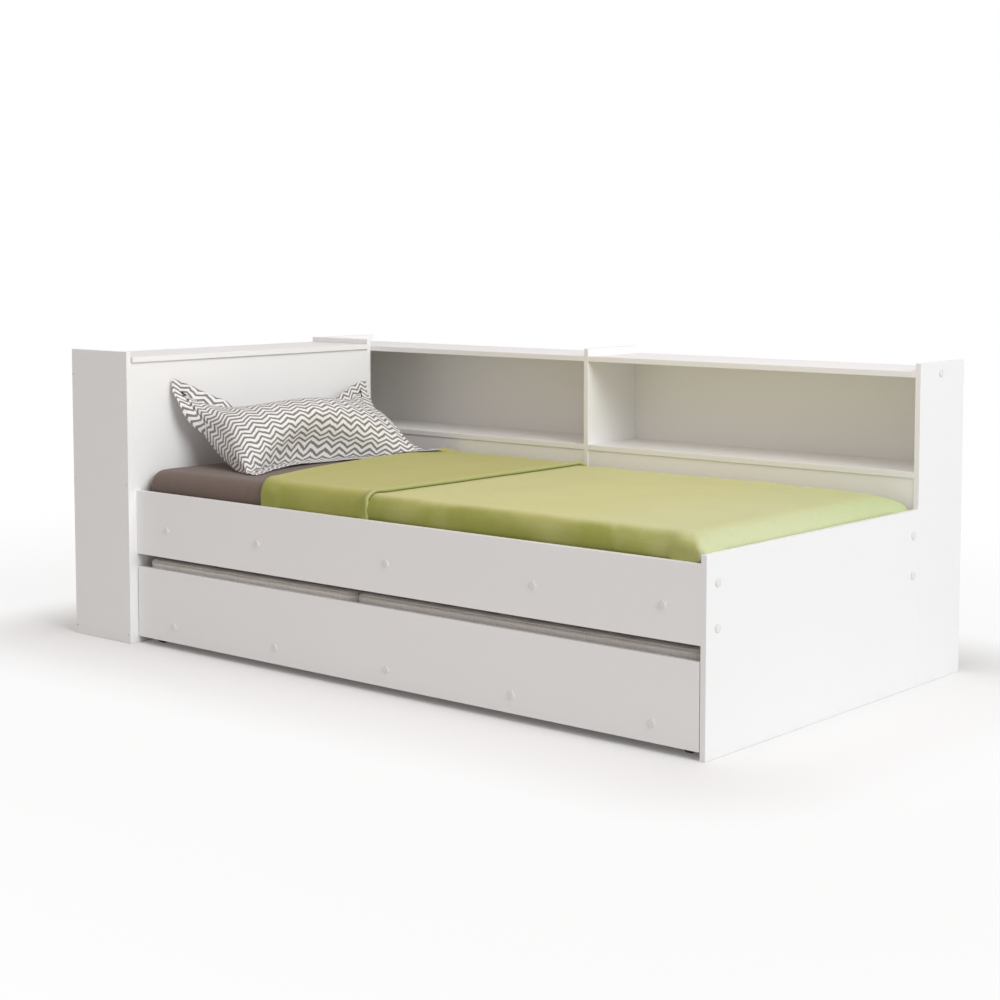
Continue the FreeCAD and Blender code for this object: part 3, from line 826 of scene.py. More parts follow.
# ---------------------------------------------------------------- screw covers, screws and pins
FRONTWARD, FOOTWARD, HEADWARD, REARWARD = (0, -1, 0), (1, 0, 0), (-1, 0, 0), (0, 1, 0)
UP, DOWN = (0, 0, 1), (0, 0, -1)
RAIL_MIDDLE = 0.132         # place along X of the middle cover of the rail and of the guest bed
SLAT_END = 0.034            # from the ends of the slats' row to the first slat's middle


def five_covers(inner, outer, y, z):
    """Covers in a row: the middle one and two to each side, at those distances."""
    return [((RAIL_MIDDLE + s, y, z), FRONTWARD) for s in (-outer, -inner, 0.0, inner, outer)]


def spread(low, high, margin, count):
    """Evenly spaced places from end to end, that margin left at both."""
    return [low + margin + i * (high - low - 2 * margin) / (count - 1) for i in range(count)]


def cover_places():
    """Points and directions of the screw covers, grouped by piece name and body."""
    foot = [((FOOT_HIGH.x, y, z), FOOTWARD) for y in (-0.526, 0.342) for z in (0.288, 0.388)]
    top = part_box("bookcase_foot_top_board")
    case = [((FOOT_HIGH.x, (top[0].y + top[1].y) / 2 - 0.0085, (top[0].z + top[1].z) / 2), FOOTWARD)]
    return {"rail_screw_covers": ("bed", five_covers(0.472, 0.841, RAIL_LOW.y, RAIL_LOW.z + 0.077)),
            "foot_screw_covers": ("bed", foot), "bookcase_screw_cover": ("bed", case),
            "guest_front_screw_covers": ("trundle", five_covers(0.407, 0.814, FRONT_LOW.y, 0.063))}


class BedCovers(bpy.types.Operator):
    """Domed plastic covers over the screws of the boards"""
    bl_idname = "bed.covers"
    bl_label = "Screw covers"

    def execute(self, context):
        settings = context.scene.bed_boards
        radius, height = settings.cover_radius, settings.cover_height
        master = add_drum("cover_master", radius, height, height / 2, 40)
        edit_top(master, ((radius * 0.10, height * 0.16), (radius * 0.30, height * 0.10)))
        apply_modifier(master, "BEVEL", width=height * 0.12, segments=2, limit_method="ANGLE")
        for name, (body, spots) in cover_places().items():
            piece = copies(master, name, [facing(p, d) for p, d in spots])
            dress(piece, "cover_plastic", 30.0, body)
        discard(master)
        return {"FINISHED"}


def hinge_screws(z):
    """Three screws in a leaf of each hinge, at that height."""
    low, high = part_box("lid_hinge_fixed_leaves")
    leaf_x = HEAD_END_LOW.x - 0.0012
    middles = (low.y + 0.025, (low.y + high.y) / 2, high.y - 0.025)
    return [((leaf_x, y + s, z), HEADWARD) for y in middles for s in (-0.018, 0.0, 0.018)]


def slat_screws():
    low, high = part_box("bed_slats")
    rows = (low.y + 0.006, high.y - 0.006)
    return [((x, y, high.z), UP) for x in spread(low.x, high.x, SLAT_END, 13) for y in rows]


def guest_slat_screws():
    low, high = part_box("trundle_slats")
    return [((x, low.y + 0.0045, high.z), UP) for x in spread(low.x, high.x, SLAT_END, 12)]


def ledger_screws():
    front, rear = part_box("front_slat_ledger"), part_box("rear_slat_ledger")
    along = spread(front[0].x, front[1].x, 0.09, 7)
    return ([((x, front[1].y, 0.325), REARWARD) for x in along]
            + [((x, rear[0].y, 0.325), FRONTWARD) for x in along])


def bracket_screws():
    """Screws in both legs of the two rail brackets, two into the headboard and three into the rail."""
    low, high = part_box("head_rail_brackets")
    sheet, leg_middle = 0.002, 0.019
    spots = []
    for wall, side in ((low.y, 1.0), (high.y, -1.0)):
        spots += [((low.x + sheet, wall + side * leg_middle, z), FOOTWARD) for z in (0.305, 0.342)]
        spots += [((low.x + leg_middle, wall + side * sheet, z), (0, side, 0))
                  for z in (0.305, 0.342, 0.378)]
    return spots


def castor_screws():
    spots = []
    for node in WHEEL_NODES:
        low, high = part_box(node)
        middle = (low + high) / 2
        spots += [((middle.x, middle.y + s, 0.038), DOWN) for s in (-0.0192, 0.0192)]
    return spots


def end_panel_screws():
    """Bare screw heads near the long edges of the headboard's front end panel."""
    edges = (HEAD_END_LOW.x + BOARD / 2, HEAD_END_HIGH.x - BOARD / 2)
    return [((x, HEAD_END_LOW.y, z), FRONTWARD) for x in edges for z in (0.024, 0.449, 0.749)]


def bolt_places():
    """Bolts through the rear rail into the bookcase's uprights and the headboard's end panel."""
    panel_x = (HEAD_END_LOW.x + HEAD_END_HIGH.x) / 2
    bolts = [((x, REAR_RAIL_LOW.y, z), FRONTWARD) for x in (-0.50645, 0.74355) for z in (0.278, 0.385)]
    return bolts + [((panel_x, REAR_RAIL_LOW.y, z), FRONTWARD) for z in (0.300, 0.700)]


def pin_places():
    """The small pins round the edges of the hardboard backs."""
    spots = []
    edge = 0.0075
    for node in HARDBOARD_NODES:
        low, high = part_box(node)
        for x in spread(low.x, high.x, 0.012, 9):
            spots += [((x, high.y, z), REARWARD) for z in (low.z + edge, high.z - edge)]
        for z in (low.z + 0.09, low.z + 0.18):
            spots += [((x, high.y, z), REARWARD) for x in (low.x + edge, high.x - edge)]
    return spots


class BedScrews(bpy.types.Operator):
    """Cross-head screws, hexagon-socket bolts and pins"""
    bl_idname = "bed.screws"
    bl_label = "Screws and pins"

    def execute(self, context):
        screw = self.headed("screw_master", 0.0030, 0.0013, self.cross)
        self.place(screw, "slat_screws", slat_screws(), "bed")
        self.place(screw, "ledger_screws", ledger_screws(), "bed")
        self.place(screw, "rail_bracket_screws", bracket_screws(), "bed")
        self.place(screw, "hinge_screws_fixed", hinge_screws(0.7795), "bed")
        self.place(screw, "end_panel_screws", end_panel_screws(), "bed")
        self.place(screw, "hinge_screws_lid", hinge_screws(0.7978), "lid")
        self.place(screw, "castor_screws", castor_screws(), "trundle")
        self.place(screw, "guest_slat_screws", guest_slat_screws(), "trundle")
        bolt = self.headed("bolt_master", 0.0065, 0.0028, self.hexagon)
        self.place(bolt, "fixing_bolts", bolt_places(), "bed")
        pin = add_drum("pin_master", 0.0018, 0.0008, 0.0004, 10)
        edit_top(pin, ((0.0006, 0.0003),))
        self.place(pin, "back_pins", pin_places(), "bed")
        for master in (screw, bolt, pin):
            discard(master)
        return {"FINISHED"}

    def headed(self, name, radius, height, recess):
        """Low domed head with a recess for the driver."""
        piece = add_drum(name, radius, height, height / 2, 20)
        edit_top(piece, ((radius * 0.25, height * 0.3),))
        for tool in recess(radius, height):
            cut(piece, tool)
        return piece

    def cross(self, radius, height):
        arm, half = radius * 0.62, radius * 0.22
        return [add_box("recess", (-x, -y, height * 0.35), (x, y, height * 3))
                for x, y in ((arm, half), (half, arm))]

    def hexagon(self, radius, height):
        return [add_drum("recess", radius * 0.48, height * 2.0, height * 1.35, 6)]

    def place(self, master, name, spots, body):
        dress(copies(master, name, [facing(p, d) for p, d in spots]), "zinc_plate", 30.0, body)


# ---------------------------------------------------------------- mattresses
QUILT_CELL = 0.145          # side of one quilted square
GUEST_CORNER = 0.028        # upright corners of the guest mattress
PIPING_RADIUS = 0.0026


def clamp(value, low, high):
    return max(low, min(high, value))


def foam_block(name, low, high, corner, rim, quilt=0.0):
    """Foam block with rounded corners and rims, and quilted dimples of that depth."""
    start_clean()
    middle = (Vector(low) + Vector(high)) / 2
    half = (Vector(high) - Vector(low)) / 2
    bpy.ops.mesh.primitive_cube_add(size=2.0)
    piece = added(name)
    bpy.ops.object.mode_set(mode="EDIT")
    bpy.ops.mesh.select_all(action="SELECT")
    bpy.ops.mesh.subdivide(number_cuts=47)
    leave_edit()
    for v in piece.data.vertices:
        local = Vector(a * b for a, b in zip(v.co, half))
        core = Vector((clamp(local.x, corner - half.x, half.x - corner),
                       clamp(local.y, corner - half.y, half.y - corner), 0.0))
        aside = Vector((local.x - core.x, local.y - core.y))
        reach = out = max(abs(aside.x), abs(aside.y))
        z = local.z
        from_side, from_top = corner - reach, half.z - abs(z)
        if from_side < rim and from_top < rim:
            a, b = rim - from_side, rim - from_top
            size = math.hypot(a, b)
            k = max(a, b) / size if size > 1e-9 else 1.0
            out = corner - rim + a * k
            z = math.copysign(half.z - rim + b * k, z)
        if reach > 1e-9:
            aside = aside.normalized() * out
        x, y = core.x + aside.x, core.y + aside.y
        if quilt:
            top = clamp((abs(z) - half.z + rim) / rim, 0.0, 1.0)
            wave = 1.0
            for place in (x + half.x, y + half.y):
                wave *= abs(math.sin(math.pi * place / QUILT_CELL))
            z -= math.copysign(quilt * top * (1.0 - wave ** 0.35), z)
        v.co = Vector((x, y, z)) + middle
    return piece


def piping(name, low, high, z):
    """Cord of cloth round the guest mattress at height z."""
    data = bpy.data.curves.new(name, "CURVE")
    data.dimensions = "3D"
    data.bevel_depth = PIPING_RADIUS
    data.bevel_resolution = 2
    radius = GUEST_CORNER - 0.0014
    points = []
    for quarter in range(4):
        cx = high.x - GUEST_CORNER if quarter in (0, 3) else low.x + GUEST_CORNER
        cy = high.y - GUEST_CORNER if quarter in (0, 1) else low.y + GUEST_CORNER
        for step in range(9):
            angle = math.radians(90.0 * (quarter + step / 8))
            points.append((cx + radius * math.cos(angle), cy + radius * math.sin(angle), z, 1.0))
    line = data.splines.new("POLY")
    line.points.add(len(points) - 1)
    for point, place in zip(line.points, points):
        point.co = place
    line.use_cyclic_u = True
    curve = bpy.data.objects.new(name, data)
    bpy.context.scene.collection.objects.link(curve)
    only(curve)
    bpy.ops.object.convert(target="MESH")
    return bpy.context.object


class BedMattress(bpy.types.Operator):
    """The bed's own foam mattress, mostly hidden by its sheet"""
    bl_idname = "bed.mattress"
    bl_label = "Mattress"

    def execute(self, context):
        settings = context.scene.bed_bedding
        piece = foam_block("foam_mattress", MATTRESS_LOW, MATTRESS_HIGH, settings.corner_radius,
                           settings.rim_radius)
        dress(piece, "mattress_ticking", 60.0, "bed", node="mattress")
        return {"FINISHED"}


class BedGuestMattress(bpy.types.Operator):
    """The guest bed's mattress in two sections, quilted and piped"""
    bl_idname = "bed.guest_mattress"
    bl_label = "Guest mattress"

    RIM = 0.014
    QUILT_DEPTH = 0.0035
    PIPING_INSET = 0.011        # from the section's top or bottom to the cord's middle

    def execute(self, context):
        for end in ("head", "foot"):
            node = "trundle_mattress_%s_section" % end
            low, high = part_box(node)
            name = "guest_mattress_%s" % end
            piece = foam_block(name, low, high, GUEST_CORNER, self.RIM, self.QUILT_DEPTH)
            dress(piece, "guest_ticking", 60.0, "trundle", node=node)
            for level, z in (("top", high.z - self.PIPING_INSET), ("bottom", low.z + self.PIPING_INSET)):
                cord = piping("guest_piping_%s_%s" % (end, level), low, high, z)
                dress(cord, "piping", 60.0, "trundle")
        return {"FINISHED"}


# ---------------------------------------------------------------- cloth laid over the mattress
FOOT_RIM = 0.020            # how much rounder the mattress's rim is at the foot end
FOOT_CORNER = 0.018         # and its upright corners there
FOOT_ROOM = 0.017           # how far loose cloth swells toward the foot panel
REAR_ROOM = 0.012           # toward the rear boards
CORNER_ROOM = 0.062         # and into the corners at the foot
FOOT_GAP = 0.002
SIDE_GAP = 0.0015


def bumps(x, y, size, seed=0.0):
    """Smooth unevenness from -1 to 1 with bumps of about that size."""
    return noise.noise(Vector((x / size, y / size, seed)))


def half_bumps(x, y, size, seed):
    """The same from 0 to 1."""
    return 0.5 + 0.5 * bumps(x, y, size, seed)


def soft_step(value, low, high):
    t = clamp((value - low) / (high - low), 0.0, 1.0)
    return t * t * (3.0 - 2.0 * t)


def over_mattress(along, across, lift, loose=False):
    """Place of a point of cloth, in flat coordinates, laid that far above the mattress.

    The mattress is rounder at its foot end. Loose cloth fills the gap to the foot panel and the rear boards.
    """
    bedding = bpy.context.scene.bed_bedding
    rounder = soft_step(along, 0.70, 1.03)
    rim, corner = bedding.rim_radius + FOOT_RIM * rounder, bedding.corner_radius + FOOT_CORNER * rounder
    core_x = clamp(along, MATTRESS_LOW.x + corner, MATTRESS_HIGH.x - corner)
    core_y = clamp(across, MATTRESS_LOW.y + corner, MATTRESS_HIGH.y - corner)
    dx, dy = along - core_x, across - core_y
    length = math.hypot(dx, dy)
    ux, uy = (dx / length, dy / length) if length > 1e-9 else (0.0, 0.0)
    reach = max(abs(dx), abs(dy))
    level = min(reach, corner - rim)
    turn = min(max(reach - level, 0.0) / rim, math.pi / 2)
    down = max(reach - level - rim * math.pi / 2, 0.0)
    out = level + (rim + lift) * math.sin(turn)
    z = MATTRESS_HIGH.z - rim + (rim + lift) * math.cos(turn) - down
    if not loose:
        return Vector((core_x + ux * out, core_y + uy * out, z))
    toward_foot, toward_rear = max(ux, 0.0), max(uy, 0.0)
    rail_top = RAIL_HIGH.z
    room = FOOT_ROOM * toward_foot ** 2 + REAR_ROOM * toward_rear ** 2
    room *= soft_step(z, rail_top - 0.004, rail_top + 0.016)
    room += CORNER_ROOM * toward_foot * abs(uy) * soft_step(z, rail_top - 0.034, rail_top - 0.010)
    out += room * soft_step(turn, 0.25, 1.35)
    x = min(core_x + ux * out, FOOT_LOW.x - FOOT_GAP)
    y = min(max(core_y + uy * out, RAIL_HIGH.y + SIDE_GAP), REAR_RAIL_LOW.y - SIDE_GAP)
    return Vector((x, y, z))


def edge_reach(z_low):
    """Flat distance from the mattress's side to where the cloth has come down to that height."""
    rim = bpy.context.scene.bed_bedding.rim_radius
    return rim * math.pi / 2 - rim + (MATTRESS_HIGH.z - rim - z_low)


def flat_uv(piece, coordinates_of):
    """UV map that holds each point's flat cloth coordinates in metres."""
    layer = piece.data.uv_layers.get("flat") or piece.data.uv_layers.new(name="flat")
    piece.data.uv_layers.active = layer
    for loop in piece.data.loops:
        layer.data[loop.index].uv = coordinates_of[loop.vertex_index]


def cloth_grid(name, columns, rows):
    """Grid of that many points each way, and the column and row of each of its points."""
    start_clean()
    bpy.ops.mesh.primitive_grid_add(x_subdivisions=columns - 1, y_subdivisions=rows - 1, size=1.0)
    piece = added(name)
    lines = []
    for axis in (0, 1):
        values = sorted({round(v.co[axis], 5) for v in piece.data.vertices})
        lines.append({value: number for number, value in enumerate(values)})
    places = [(lines[0][round(v.co.x, 5)], lines[1][round(v.co.y, 5)]) for v in piece.data.vertices]
    return piece, places


# ---------------------------------------------------------------- sheet and throw
THROW_FROM_FOOT = 1.410     # the throw's fold from the foot panel's outer face, at the front rail


def fold_line(across):
    """Where the throw turns back on itself, along X, at a place across the bed."""
    t = clamp(across, MATTRESS_LOW.y, MATTRESS_HIGH.y) - RAIL_LOW.y
    return FOOT_HIGH.x - THROW_FROM_FOOT - 0.385 * t + 0.24 * t * t


class BedFittedSheet(bpy.types.Operator):
    """Fitted sheet stretched over the mattress"""
    bl_idname = "bed.fitted_sheet"
    bl_label = "Fitted sheet"

    STEPS = (210, 110)
    THICKNESS = 0.0008

    def execute(self, context):
        reach = edge_reach(SHEET_LOW.z)
        piece, places = cloth_grid("brown_fitted_sheet", self.STEPS[0] + 1, self.STEPS[1] + 1)
        low = (MATTRESS_LOW.x - reach, MATTRESS_LOW.y - reach)
        size = (MATTRESS_HIGH.x - MATTRESS_LOW.x + 2 * reach, MATTRESS_HIGH.y - MATTRESS_LOW.y + 2 * reach)
        flat = []
        for v, (column, row) in zip(piece.data.vertices, places):
            along = low[0] + size[0] * column / self.STEPS[0]
            across = low[1] + size[1] * row / self.STEPS[1]
            flat.append((along, across))
            fold = fold_line(across)
            bare = 1.0 - soft_step(along, fold - 0.05, fold - 0.015)
            v.co = over_mattress(along, across, self.THICKNESS + bare * self.wrinkle(along, across))
        flat_uv(piece, flat)
        piece.data.update()
        apply_modifier(piece, "SOLIDIFY", thickness=self.THICKNESS, offset=0.0)
        dress(piece, "brown_cotton", 80.0, "bed", node="fitted_sheet")
        corners_cut = 4.0 * reach * reach * 0.5
        size[0] * size[1] - corners_cut
        return {"FINISHED"}

    def wrinkle(self, along, across):
        """Height of the small folds, which are drawn tighter near the edges."""
        edge = min(across - MATTRESS_LOW.y, MATTRESS_HIGH.y - across, along - MATTRESS_LOW.x)
        side = 1.0 - soft_step(edge, -0.01, 0.10)
        pull = abs(bumps(along * 2.2 + across * 0.5, across * 0.6, 0.035, 3.0))
        return 0.0004 + 0.0014 * half_bumps(along, across, 0.12, 7.0) + side * 0.0022 * pull


class BedThrow(bpy.types.Operator):
    """Throw tucked in round the mattress, its head part turned down"""
    bl_idname = "bed.throw"
    bl_label = "Throw"

    LOWER_STEPS = 150
    FOLD_STEPS = 8
    UPPER_STEPS = 52
    HEM_STEPS = 10
    ACROSS_STEPS = 112
    HEM_X = 0.04655             # where the turned-down part ends
    FOLD_RADIUS = 0.0065
    HEM_CURL = 0.0042           # radius of the rolled hem
    LAYER_GAP = 0.0036          # between the middles of the two layers
    CLEARANCE = 0.0035          # from the mattress to the middle of the cloth
    THICKNESS = 0.0028

    def execute(self, context):
        reach = edge_reach(THROW_LOW.z)
        self.foot = MATTRESS_HIGH.x + reach
        rows = self.LOWER_STEPS + self.FOLD_STEPS + self.UPPER_STEPS + self.HEM_STEPS
        piece, places = cloth_grid("green_throw", rows + 1, self.ACROSS_STEPS + 1)
        low = MATTRESS_LOW.y - reach
        width = MATTRESS_HIGH.y - MATTRESS_LOW.y + 2 * reach
        flat = []
        for v, (row, column) in zip(piece.data.vertices, places):
            across = low + width * column / self.ACROSS_STEPS
            v.co, distance = self.point(row, across)
            flat.append((distance, across))
        flat_uv(piece, flat)
        piece.data.update()
        apply_modifier(piece, "SOLIDIFY", thickness=self.THICKNESS, offset=0.0)
        bpy.ops.object.mode_set(mode="EDIT")
        bpy.ops.mesh.select_all(action="SELECT")
        bpy.ops.mesh.normals_make_consistent(inside=False)
        leave_edit()
        self.mark_faces(piece)
        dress(piece, "green_blanket", 80.0, "bed", node="throw")
        turned = self.HEM_X - (fold_line(MATTRESS_LOW.y) + fold_line(MATTRESS_HIGH.y)) / 2
        length = self.foot - self.HEM_X + 2 * turned
        length + 0.10
        width * length
        return {"FINISHED"}

    def mark_faces(self, piece):
        """Attributes that say how far the cloth faces the foot end or the front, for its painted highlight
        and painted shade.
        """
        for name, axis, sign in (("foot_face", 0, 1.0), ("front_face", 1, -1.0)):
            values = [max(0.0, sign * v.normal[axis]) for v in piece.data.vertices]
            piece.data.attributes.new(name, "FLOAT", "POINT").data.foreach_set("value", values)

    def point(self, row, across):
        """Place of a point of the throw, and its distance from the fold along the flat cloth."""
        fold = fold_line(across)
        if row <= self.LOWER_STEPS:
            along = self.foot + (fold - self.foot) * row / self.LOWER_STEPS
            return over_mattress(along, across, self.lower(along, across), True), fold - along
        row -= self.LOWER_STEPS
        if row <= self.FOLD_STEPS:
            turn = math.pi * row / self.FOLD_STEPS
            along = fold - self.FOLD_RADIUS * math.sin(turn)
            lift = self.lower(fold, across) + self.FOLD_RADIUS * (1.0 - math.cos(turn))
            return over_mattress(along, across, lift, True), self.FOLD_RADIUS * turn
        row -= self.FOLD_STEPS
        round_fold = math.pi * self.FOLD_RADIUS
        if row <= self.UPPER_STEPS:
            along = fold + (self.HEM_X - fold) * row / self.UPPER_STEPS
            return self.upper(along, across, fold), round_fold + along - fold
        turn = math.pi * 1.25 * (row - self.UPPER_STEPS) / self.HEM_STEPS
        curl = self.HEM_CURL
        outward = over_mattress(self.HEM_X, across, 0.02) - over_mattress(self.HEM_X, across, 0.0)
        place = self.upper(self.HEM_X, across, fold) + Vector((curl * math.sin(turn), 0.0, 0.0))
        place -= outward.normalized() * curl * (1.0 - math.cos(turn))
        return place, round_fold + self.HEM_X - fold + curl * turn

    def lower(self, along, across):
        """Height of the lower layer above the mattress."""
        return self.CLEARANCE + self.rumple(along, across)

    def upper(self, along, across, fold):
        """Place of the turned-down layer, which stands higher near its fold and its hem."""
        near_fold = 1.0 - soft_step(along - fold, 0.0, 0.09)
        near_hem = soft_step(along - self.HEM_X, -0.030, 0.0)
        gap = self.LAYER_GAP + (2.0 * self.FOLD_RADIUS - self.LAYER_GAP) * near_fold ** 1.5
        gap += 0.0094 * near_hem
        gap += 0.0016 * half_bumps(along, across, 0.16, 21.0) * (1.0 - near_fold) * (1.0 - near_hem)
        return over_mattress(along, across, self.lower(along, across) + gap, True)

    def rumple(self, along, across):
        """Soft unevenness of the cloth; tight where it is tucked in, pleated at the corners."""
        reach_y = max(MATTRESS_LOW.y - across, across - MATTRESS_HIGH.y)
        reach_x = along - MATTRESS_HIGH.x
        free = 1.0 - soft_step(max(reach_y, reach_x), 0.012, 0.040)
        on_rim = soft_step(max(reach_y, reach_x), -0.075, -0.010) * free
        broad = 0.0012 * half_bumps(along, across, 0.20, 2.0) + 0.0007 * half_bumps(along, across, 0.06, 5.0)
        swell = 0.0105 * half_bumps(along, across * 0.5, 0.12, 11.0) ** 2
        corner = soft_step(reach_x, -0.06, 0.01) * soft_step(reach_y, -0.06, 0.01) * free
        spread_angle = math.atan2(max(reach_y, -0.06) + 0.065, max(reach_x, -0.06) + 0.065)
        pleat = 0.0070 * corner * abs(math.sin(spread_angle * 6.0)) ** 0.7
        return broad * free + on_rim * swell + pleat


# ---------------------------------------------------------------- the pillow
class BedPillow(bpy.types.Operator):
    """Bordered pillow leaning on the headboard"""
    bl_idname = "bed.pillow"
    bl_label = "Pillow"

    LENGTH = 0.742
    CHORD = 0.392               # from the lower seam to the upper one
    BORDER = 0.042
    CELLS = (58, 32)
    RING = 3                    # cells across the border
    SWELL_STEPS = 25            # frames of the cloth simulation
    FRONT_SEAM_X = -0.4796
    TURN = math.radians(4.5)    # round the axis that stands on the pillow
    EAR_DROOP = math.radians(100.0)
    BORDER_TILT = math.radians(84.0)
    SAG = 0.026                 # of the upper edge between its corners

    def execute(self, context):
        settings = context.scene.bed_bedding
        piece = self.case()
        self.fill_with_air(piece, settings.pillow_pressure)
        self.lean(piece, settings.pillow_tilt_low, settings.pillow_tilt_high)
        apply_modifier(piece, "SUBSURF", levels=1, render_levels=1)
        dress(piece, "zigzag_cotton", 80.0, "bed", node="pillow")
        return {"FINISHED"}

    def case(self):
        """Flat case: two layers sewn together round the body, with a flat double border outside the seam."""
        nx, ny = self.CELLS
        ring = self.RING
        columns, rows = nx + 2 * ring, ny + 2 * ring
        vertices, faces, flat = [], [], []
        index = {}

        def sewn(i, j):
            on_edge = i in (0, columns) or j in (0, rows)
            on_x = i in (ring, ring + nx) and ring <= j <= ring + ny
            on_y = j in (ring, ring + ny) and ring <= i <= ring + nx
            return on_edge or on_x or on_y

        def inside(i, j):
            return ring < i < ring + nx and ring < j < ring + ny

        def place(i, j, side):
            key = (i, j, 0 if sewn(i, j) else side)
            if key not in index:
                p = self.coordinate(i, nx, self.LENGTH / nx)
                q = self.coordinate(j, ny, self.CHORD / ny)
                lift = 0.0 if key[2] == 0 else (0.004 if inside(i, j) else 0.0012)
                index[key] = len(vertices)
                vertices.append((p - self.LENGTH / 2, q, lift * key[2]))
                flat.append((p, q))
            return index[key]

        for side in (1, -1):
            for i in range(columns):
                for j in range(rows):
                    corners = [place(i, j, side), place(i + 1, j, side), place(i + 1, j + 1, side),
                               place(i, j + 1, side)]
                    faces.append(corners if side > 0 else corners[::-1])
        mesh = bpy.data.meshes.new("zigzag_pillow")
        mesh.from_pydata(vertices, [], faces)
        mesh.update()
        piece = bpy.data.objects.new("zigzag_pillow", mesh)
        bpy.context.scene.collection.objects.link(piece)
        flat_uv(piece, flat)
        body = [number for (i, j, _), number in index.items() if inside(i, j)]
        piece.vertex_groups.new(name="body").add(body, 1.0, "REPLACE")
        return piece

    def coordinate(self, number, cells, step):
        """Flat coordinate of a grid line; the border's lines lie closer."""
        ring = self.RING
        if number < ring:
            return -self.BORDER * (ring - number) / ring
        if number > ring + cells:
            return step * cells + self.BORDER * (number - ring - cells) / ring
        return step * (number - ring)

    def fill_with_air(self, piece, pressure):
        only(piece)
        modifier = piece.modifiers.new("Cloth", "CLOTH")
        cloth = modifier.settings
        cloth.quality = 6
        cloth.mass = 0.15
        cloth.tension_stiffness = 25.0
        cloth.compression_stiffness = 25.0
        cloth.shear_stiffness = 8.0
        cloth.bending_stiffness = 0.35
        cloth.use_pressure = True
        cloth.uniform_pressure_force = pressure
        cloth.vertex_group_pressure = "body"
        cloth.effector_weights.gravity = 0.0
        modifier.collision_settings.use_collision = False
        for number in range(1, self.SWELL_STEPS + 1):
            bpy.context.scene.frame_set(number)
        only(piece)
        bpy.ops.object.modifier_apply(modifier=modifier.name)
        bpy.context.scene.frame_set(1)
        apply_modifier(piece, "SMOOTH", factor=0.5, iterations=24, vertex_group="body")

    def swell(self, piece):
        """Quick stand-in for the filled case."""
        for v in piece.data.vertices:
            x = 1.0 - (2.0 * v.co.x / self.LENGTH) ** 2
            y = 1.0 - (2.0 * v.co.y / self.CHORD - 1.0) ** 2
            if x > 0.0 and y > 0.0 and abs(v.co.z) > 0.002:
                v.co.z = math.copysign(0.078 * (x * y) ** 0.42, v.co.z)

    def lean(self, piece, low, high):
        """Lays the pillow on the mattress and bends it up against the headboard."""
        middle = self.CHORD / 2
        foot = Vector((self.FRONT_SEAM_X, (PILLOW_LOW.y + PILLOW_HIGH.y) / 2 + 0.012, SHEET_HIGH.z + 0.0047))
        bend = (high - low) / (self.CHORD + self.BORDER)
        wall = HEAD_HIGH.x + 0.0015
        flat = self.flat_places(piece)
        for v in piece.data.vertices:
            flat_p, flat_q = flat[v.index]
            p, q, n = self.shaped(v.co, flat_p, flat_q)
            along = p * math.cos(self.TURN) + (q - middle) * math.sin(self.TURN)
            up = middle + (q - middle) * math.cos(self.TURN) - p * math.sin(self.TURN)
            tilt = low + bend * max(up, 0.0)
            x = -(math.sin(tilt) - math.sin(low)) / bend - min(up, 0.0) * math.cos(low)
            z = (math.cos(low) - math.cos(tilt)) / bend + min(up, 0.0) * math.sin(low)
            beyond = max(flat_q - self.CHORD, 0.0)
            x += beyond * (math.cos(high) - math.cos(self.BORDER_TILT))
            z += beyond * (math.sin(self.BORDER_TILT) - math.sin(high))
            place = foot + Vector((x + n * math.sin(tilt), along, z + n * math.cos(tilt)))
            v.co = self.resting(place, flat_q, wall, n > 0.0)
        piece.data.update()

    def shaped(self, place, flat_p, flat_q):
        """The filled case, lying flat: an ear droops, the upper edge sags, the crown is pressed flatter."""
        p, q, n = place
        past = max(-flat_p, 0.0)
        droop = self.EAR_DROOP * (1.0 - soft_step(flat_q, self.CHORD * 0.62, self.CHORD * 0.95))
        p += past * (1.0 - math.cos(droop))
        n -= past * math.sin(droop)
        share = 2.0 * p / self.LENGTH
        sag = self.SAG * (1.0 - share * share) * (1.0 - 0.85 * share)
        q -= sag * soft_step(flat_q, self.CHORD / 2, self.CHORD)
        if n > 0.0:
            n *= 0.42 + 0.58 * soft_step(flat_q, 0.0, 0.17)
            n *= 1.0 - 0.82 * soft_step(flat_q, self.CHORD * 0.50, self.CHORD * 0.97)
        return p, q, n

    def resting(self, place, flat_q, wall, in_front):
        """The same place, kept on the mattress and off the headboard."""
        settle = 1.0 - soft_step(flat_q, 0.0, 0.055)
        place.z -= settle * max(place.z - self.floor(place) - 0.001, 0.0) * 0.85
        if place.x < wall:
            place.z += (wall - place.x) * 0.6
            place.x = wall + 0.0004 * in_front
        floor = self.floor(place)
        if place.z < floor:
            place.x -= min(floor - place.z, 0.03) * 0.2
            place.z = floor + 0.0004 * in_front
        return place

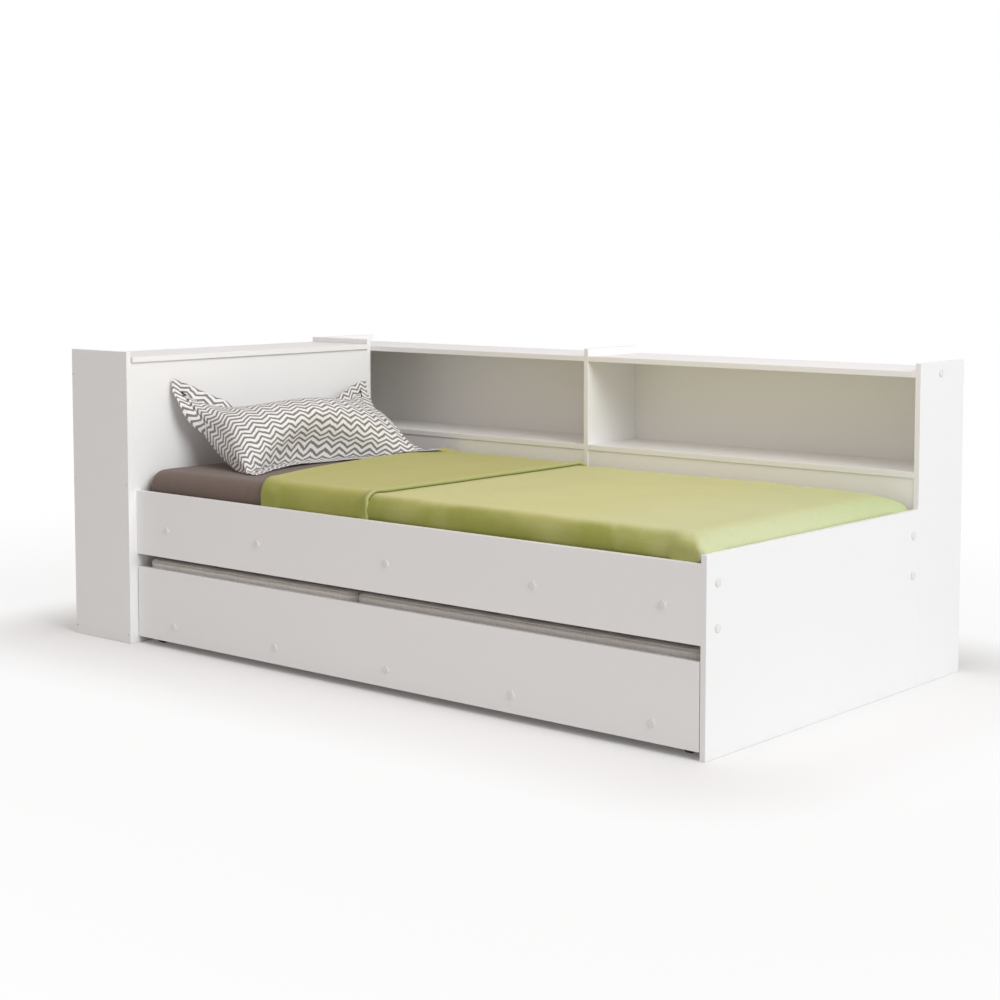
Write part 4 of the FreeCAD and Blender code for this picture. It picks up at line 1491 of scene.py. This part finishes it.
    def flat_places(self, piece):
        """Flat cloth coordinates of each point."""
        layer = piece.data.uv_layers["flat"]
        return {loop.vertex_index: tuple(layer.data[loop.index].uv) for loop in piece.data.loops}

    def floor(self, place):
        """Height of what the pillow rests on: the sheet, and the throw's fold."""
        fold = fold_line(place.y)
        return SHEET_HIGH.z + 0.0022 + 0.0175 * soft_step(place.x, fold - 0.032, fold - 0.009)


# ---------------------------------------------------------------- panel and running order
OPERATORS = [BedStage, BedBoards, BedTimber, BedMetalwork, BedWheels, BedCovers, BedScrews, BedMattress,
             BedFittedSheet, BedThrow, BedPillow, BedGuestMattress]
SETTINGS = {"bed_stage": BedStageSettings, "bed_boards": BedBoardSettings, "bed_bedding": BedBeddingSettings}


class BedPanel(bpy.types.Panel):
    """Buttons and settings of the bed"""
    bl_idname = "VIEW3D_PT_bed"
    bl_label = "Bookcase headboard bed"
    bl_space_type = "VIEW_3D"
    bl_region_type = "UI"
    bl_category = "Bed"

    def draw(self, context):
        layout = self.layout
        for operator in OPERATORS:
            layout.operator(operator.bl_idname)
        for name in SETTINGS:
            settings = getattr(context.scene, name)
            box = layout.box()
            for field in settings.bl_rna.properties.keys():
                if field not in ("rna_type", "name"):
                    box.prop(settings, field)


def register():
    for group in (*SETTINGS.values(), *OPERATORS, BedPanel):
        bpy.utils.register_class(group)
    for name, group in SETTINGS.items():
        setattr(bpy.types.Scene, name, bpy.props.PointerProperty(type=group))


def unregister():
    for name in SETTINGS:
        delattr(bpy.types.Scene, name)
    for group in (BedPanel, *reversed(OPERATORS), *SETTINGS.values()):
        bpy.utils.unregister_class(group)


def make_bed():
    """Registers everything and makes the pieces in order."""
    register()
    bpy.ops.bed.stage()
    bpy.ops.bed.boards()
    bpy.ops.bed.timber()
    bpy.ops.bed.metalwork()
    bpy.ops.bed.wheels()
    bpy.ops.bed.covers()
    bpy.ops.bed.screws()
    bpy.ops.bed.mattress()
    bpy.ops.bed.fitted_sheet()
    bpy.ops.bed.throw()
    bpy.ops.bed.pillow()
    bpy.ops.bed.guest_mattress()


if __name__ == "__main__":
    make_bed()
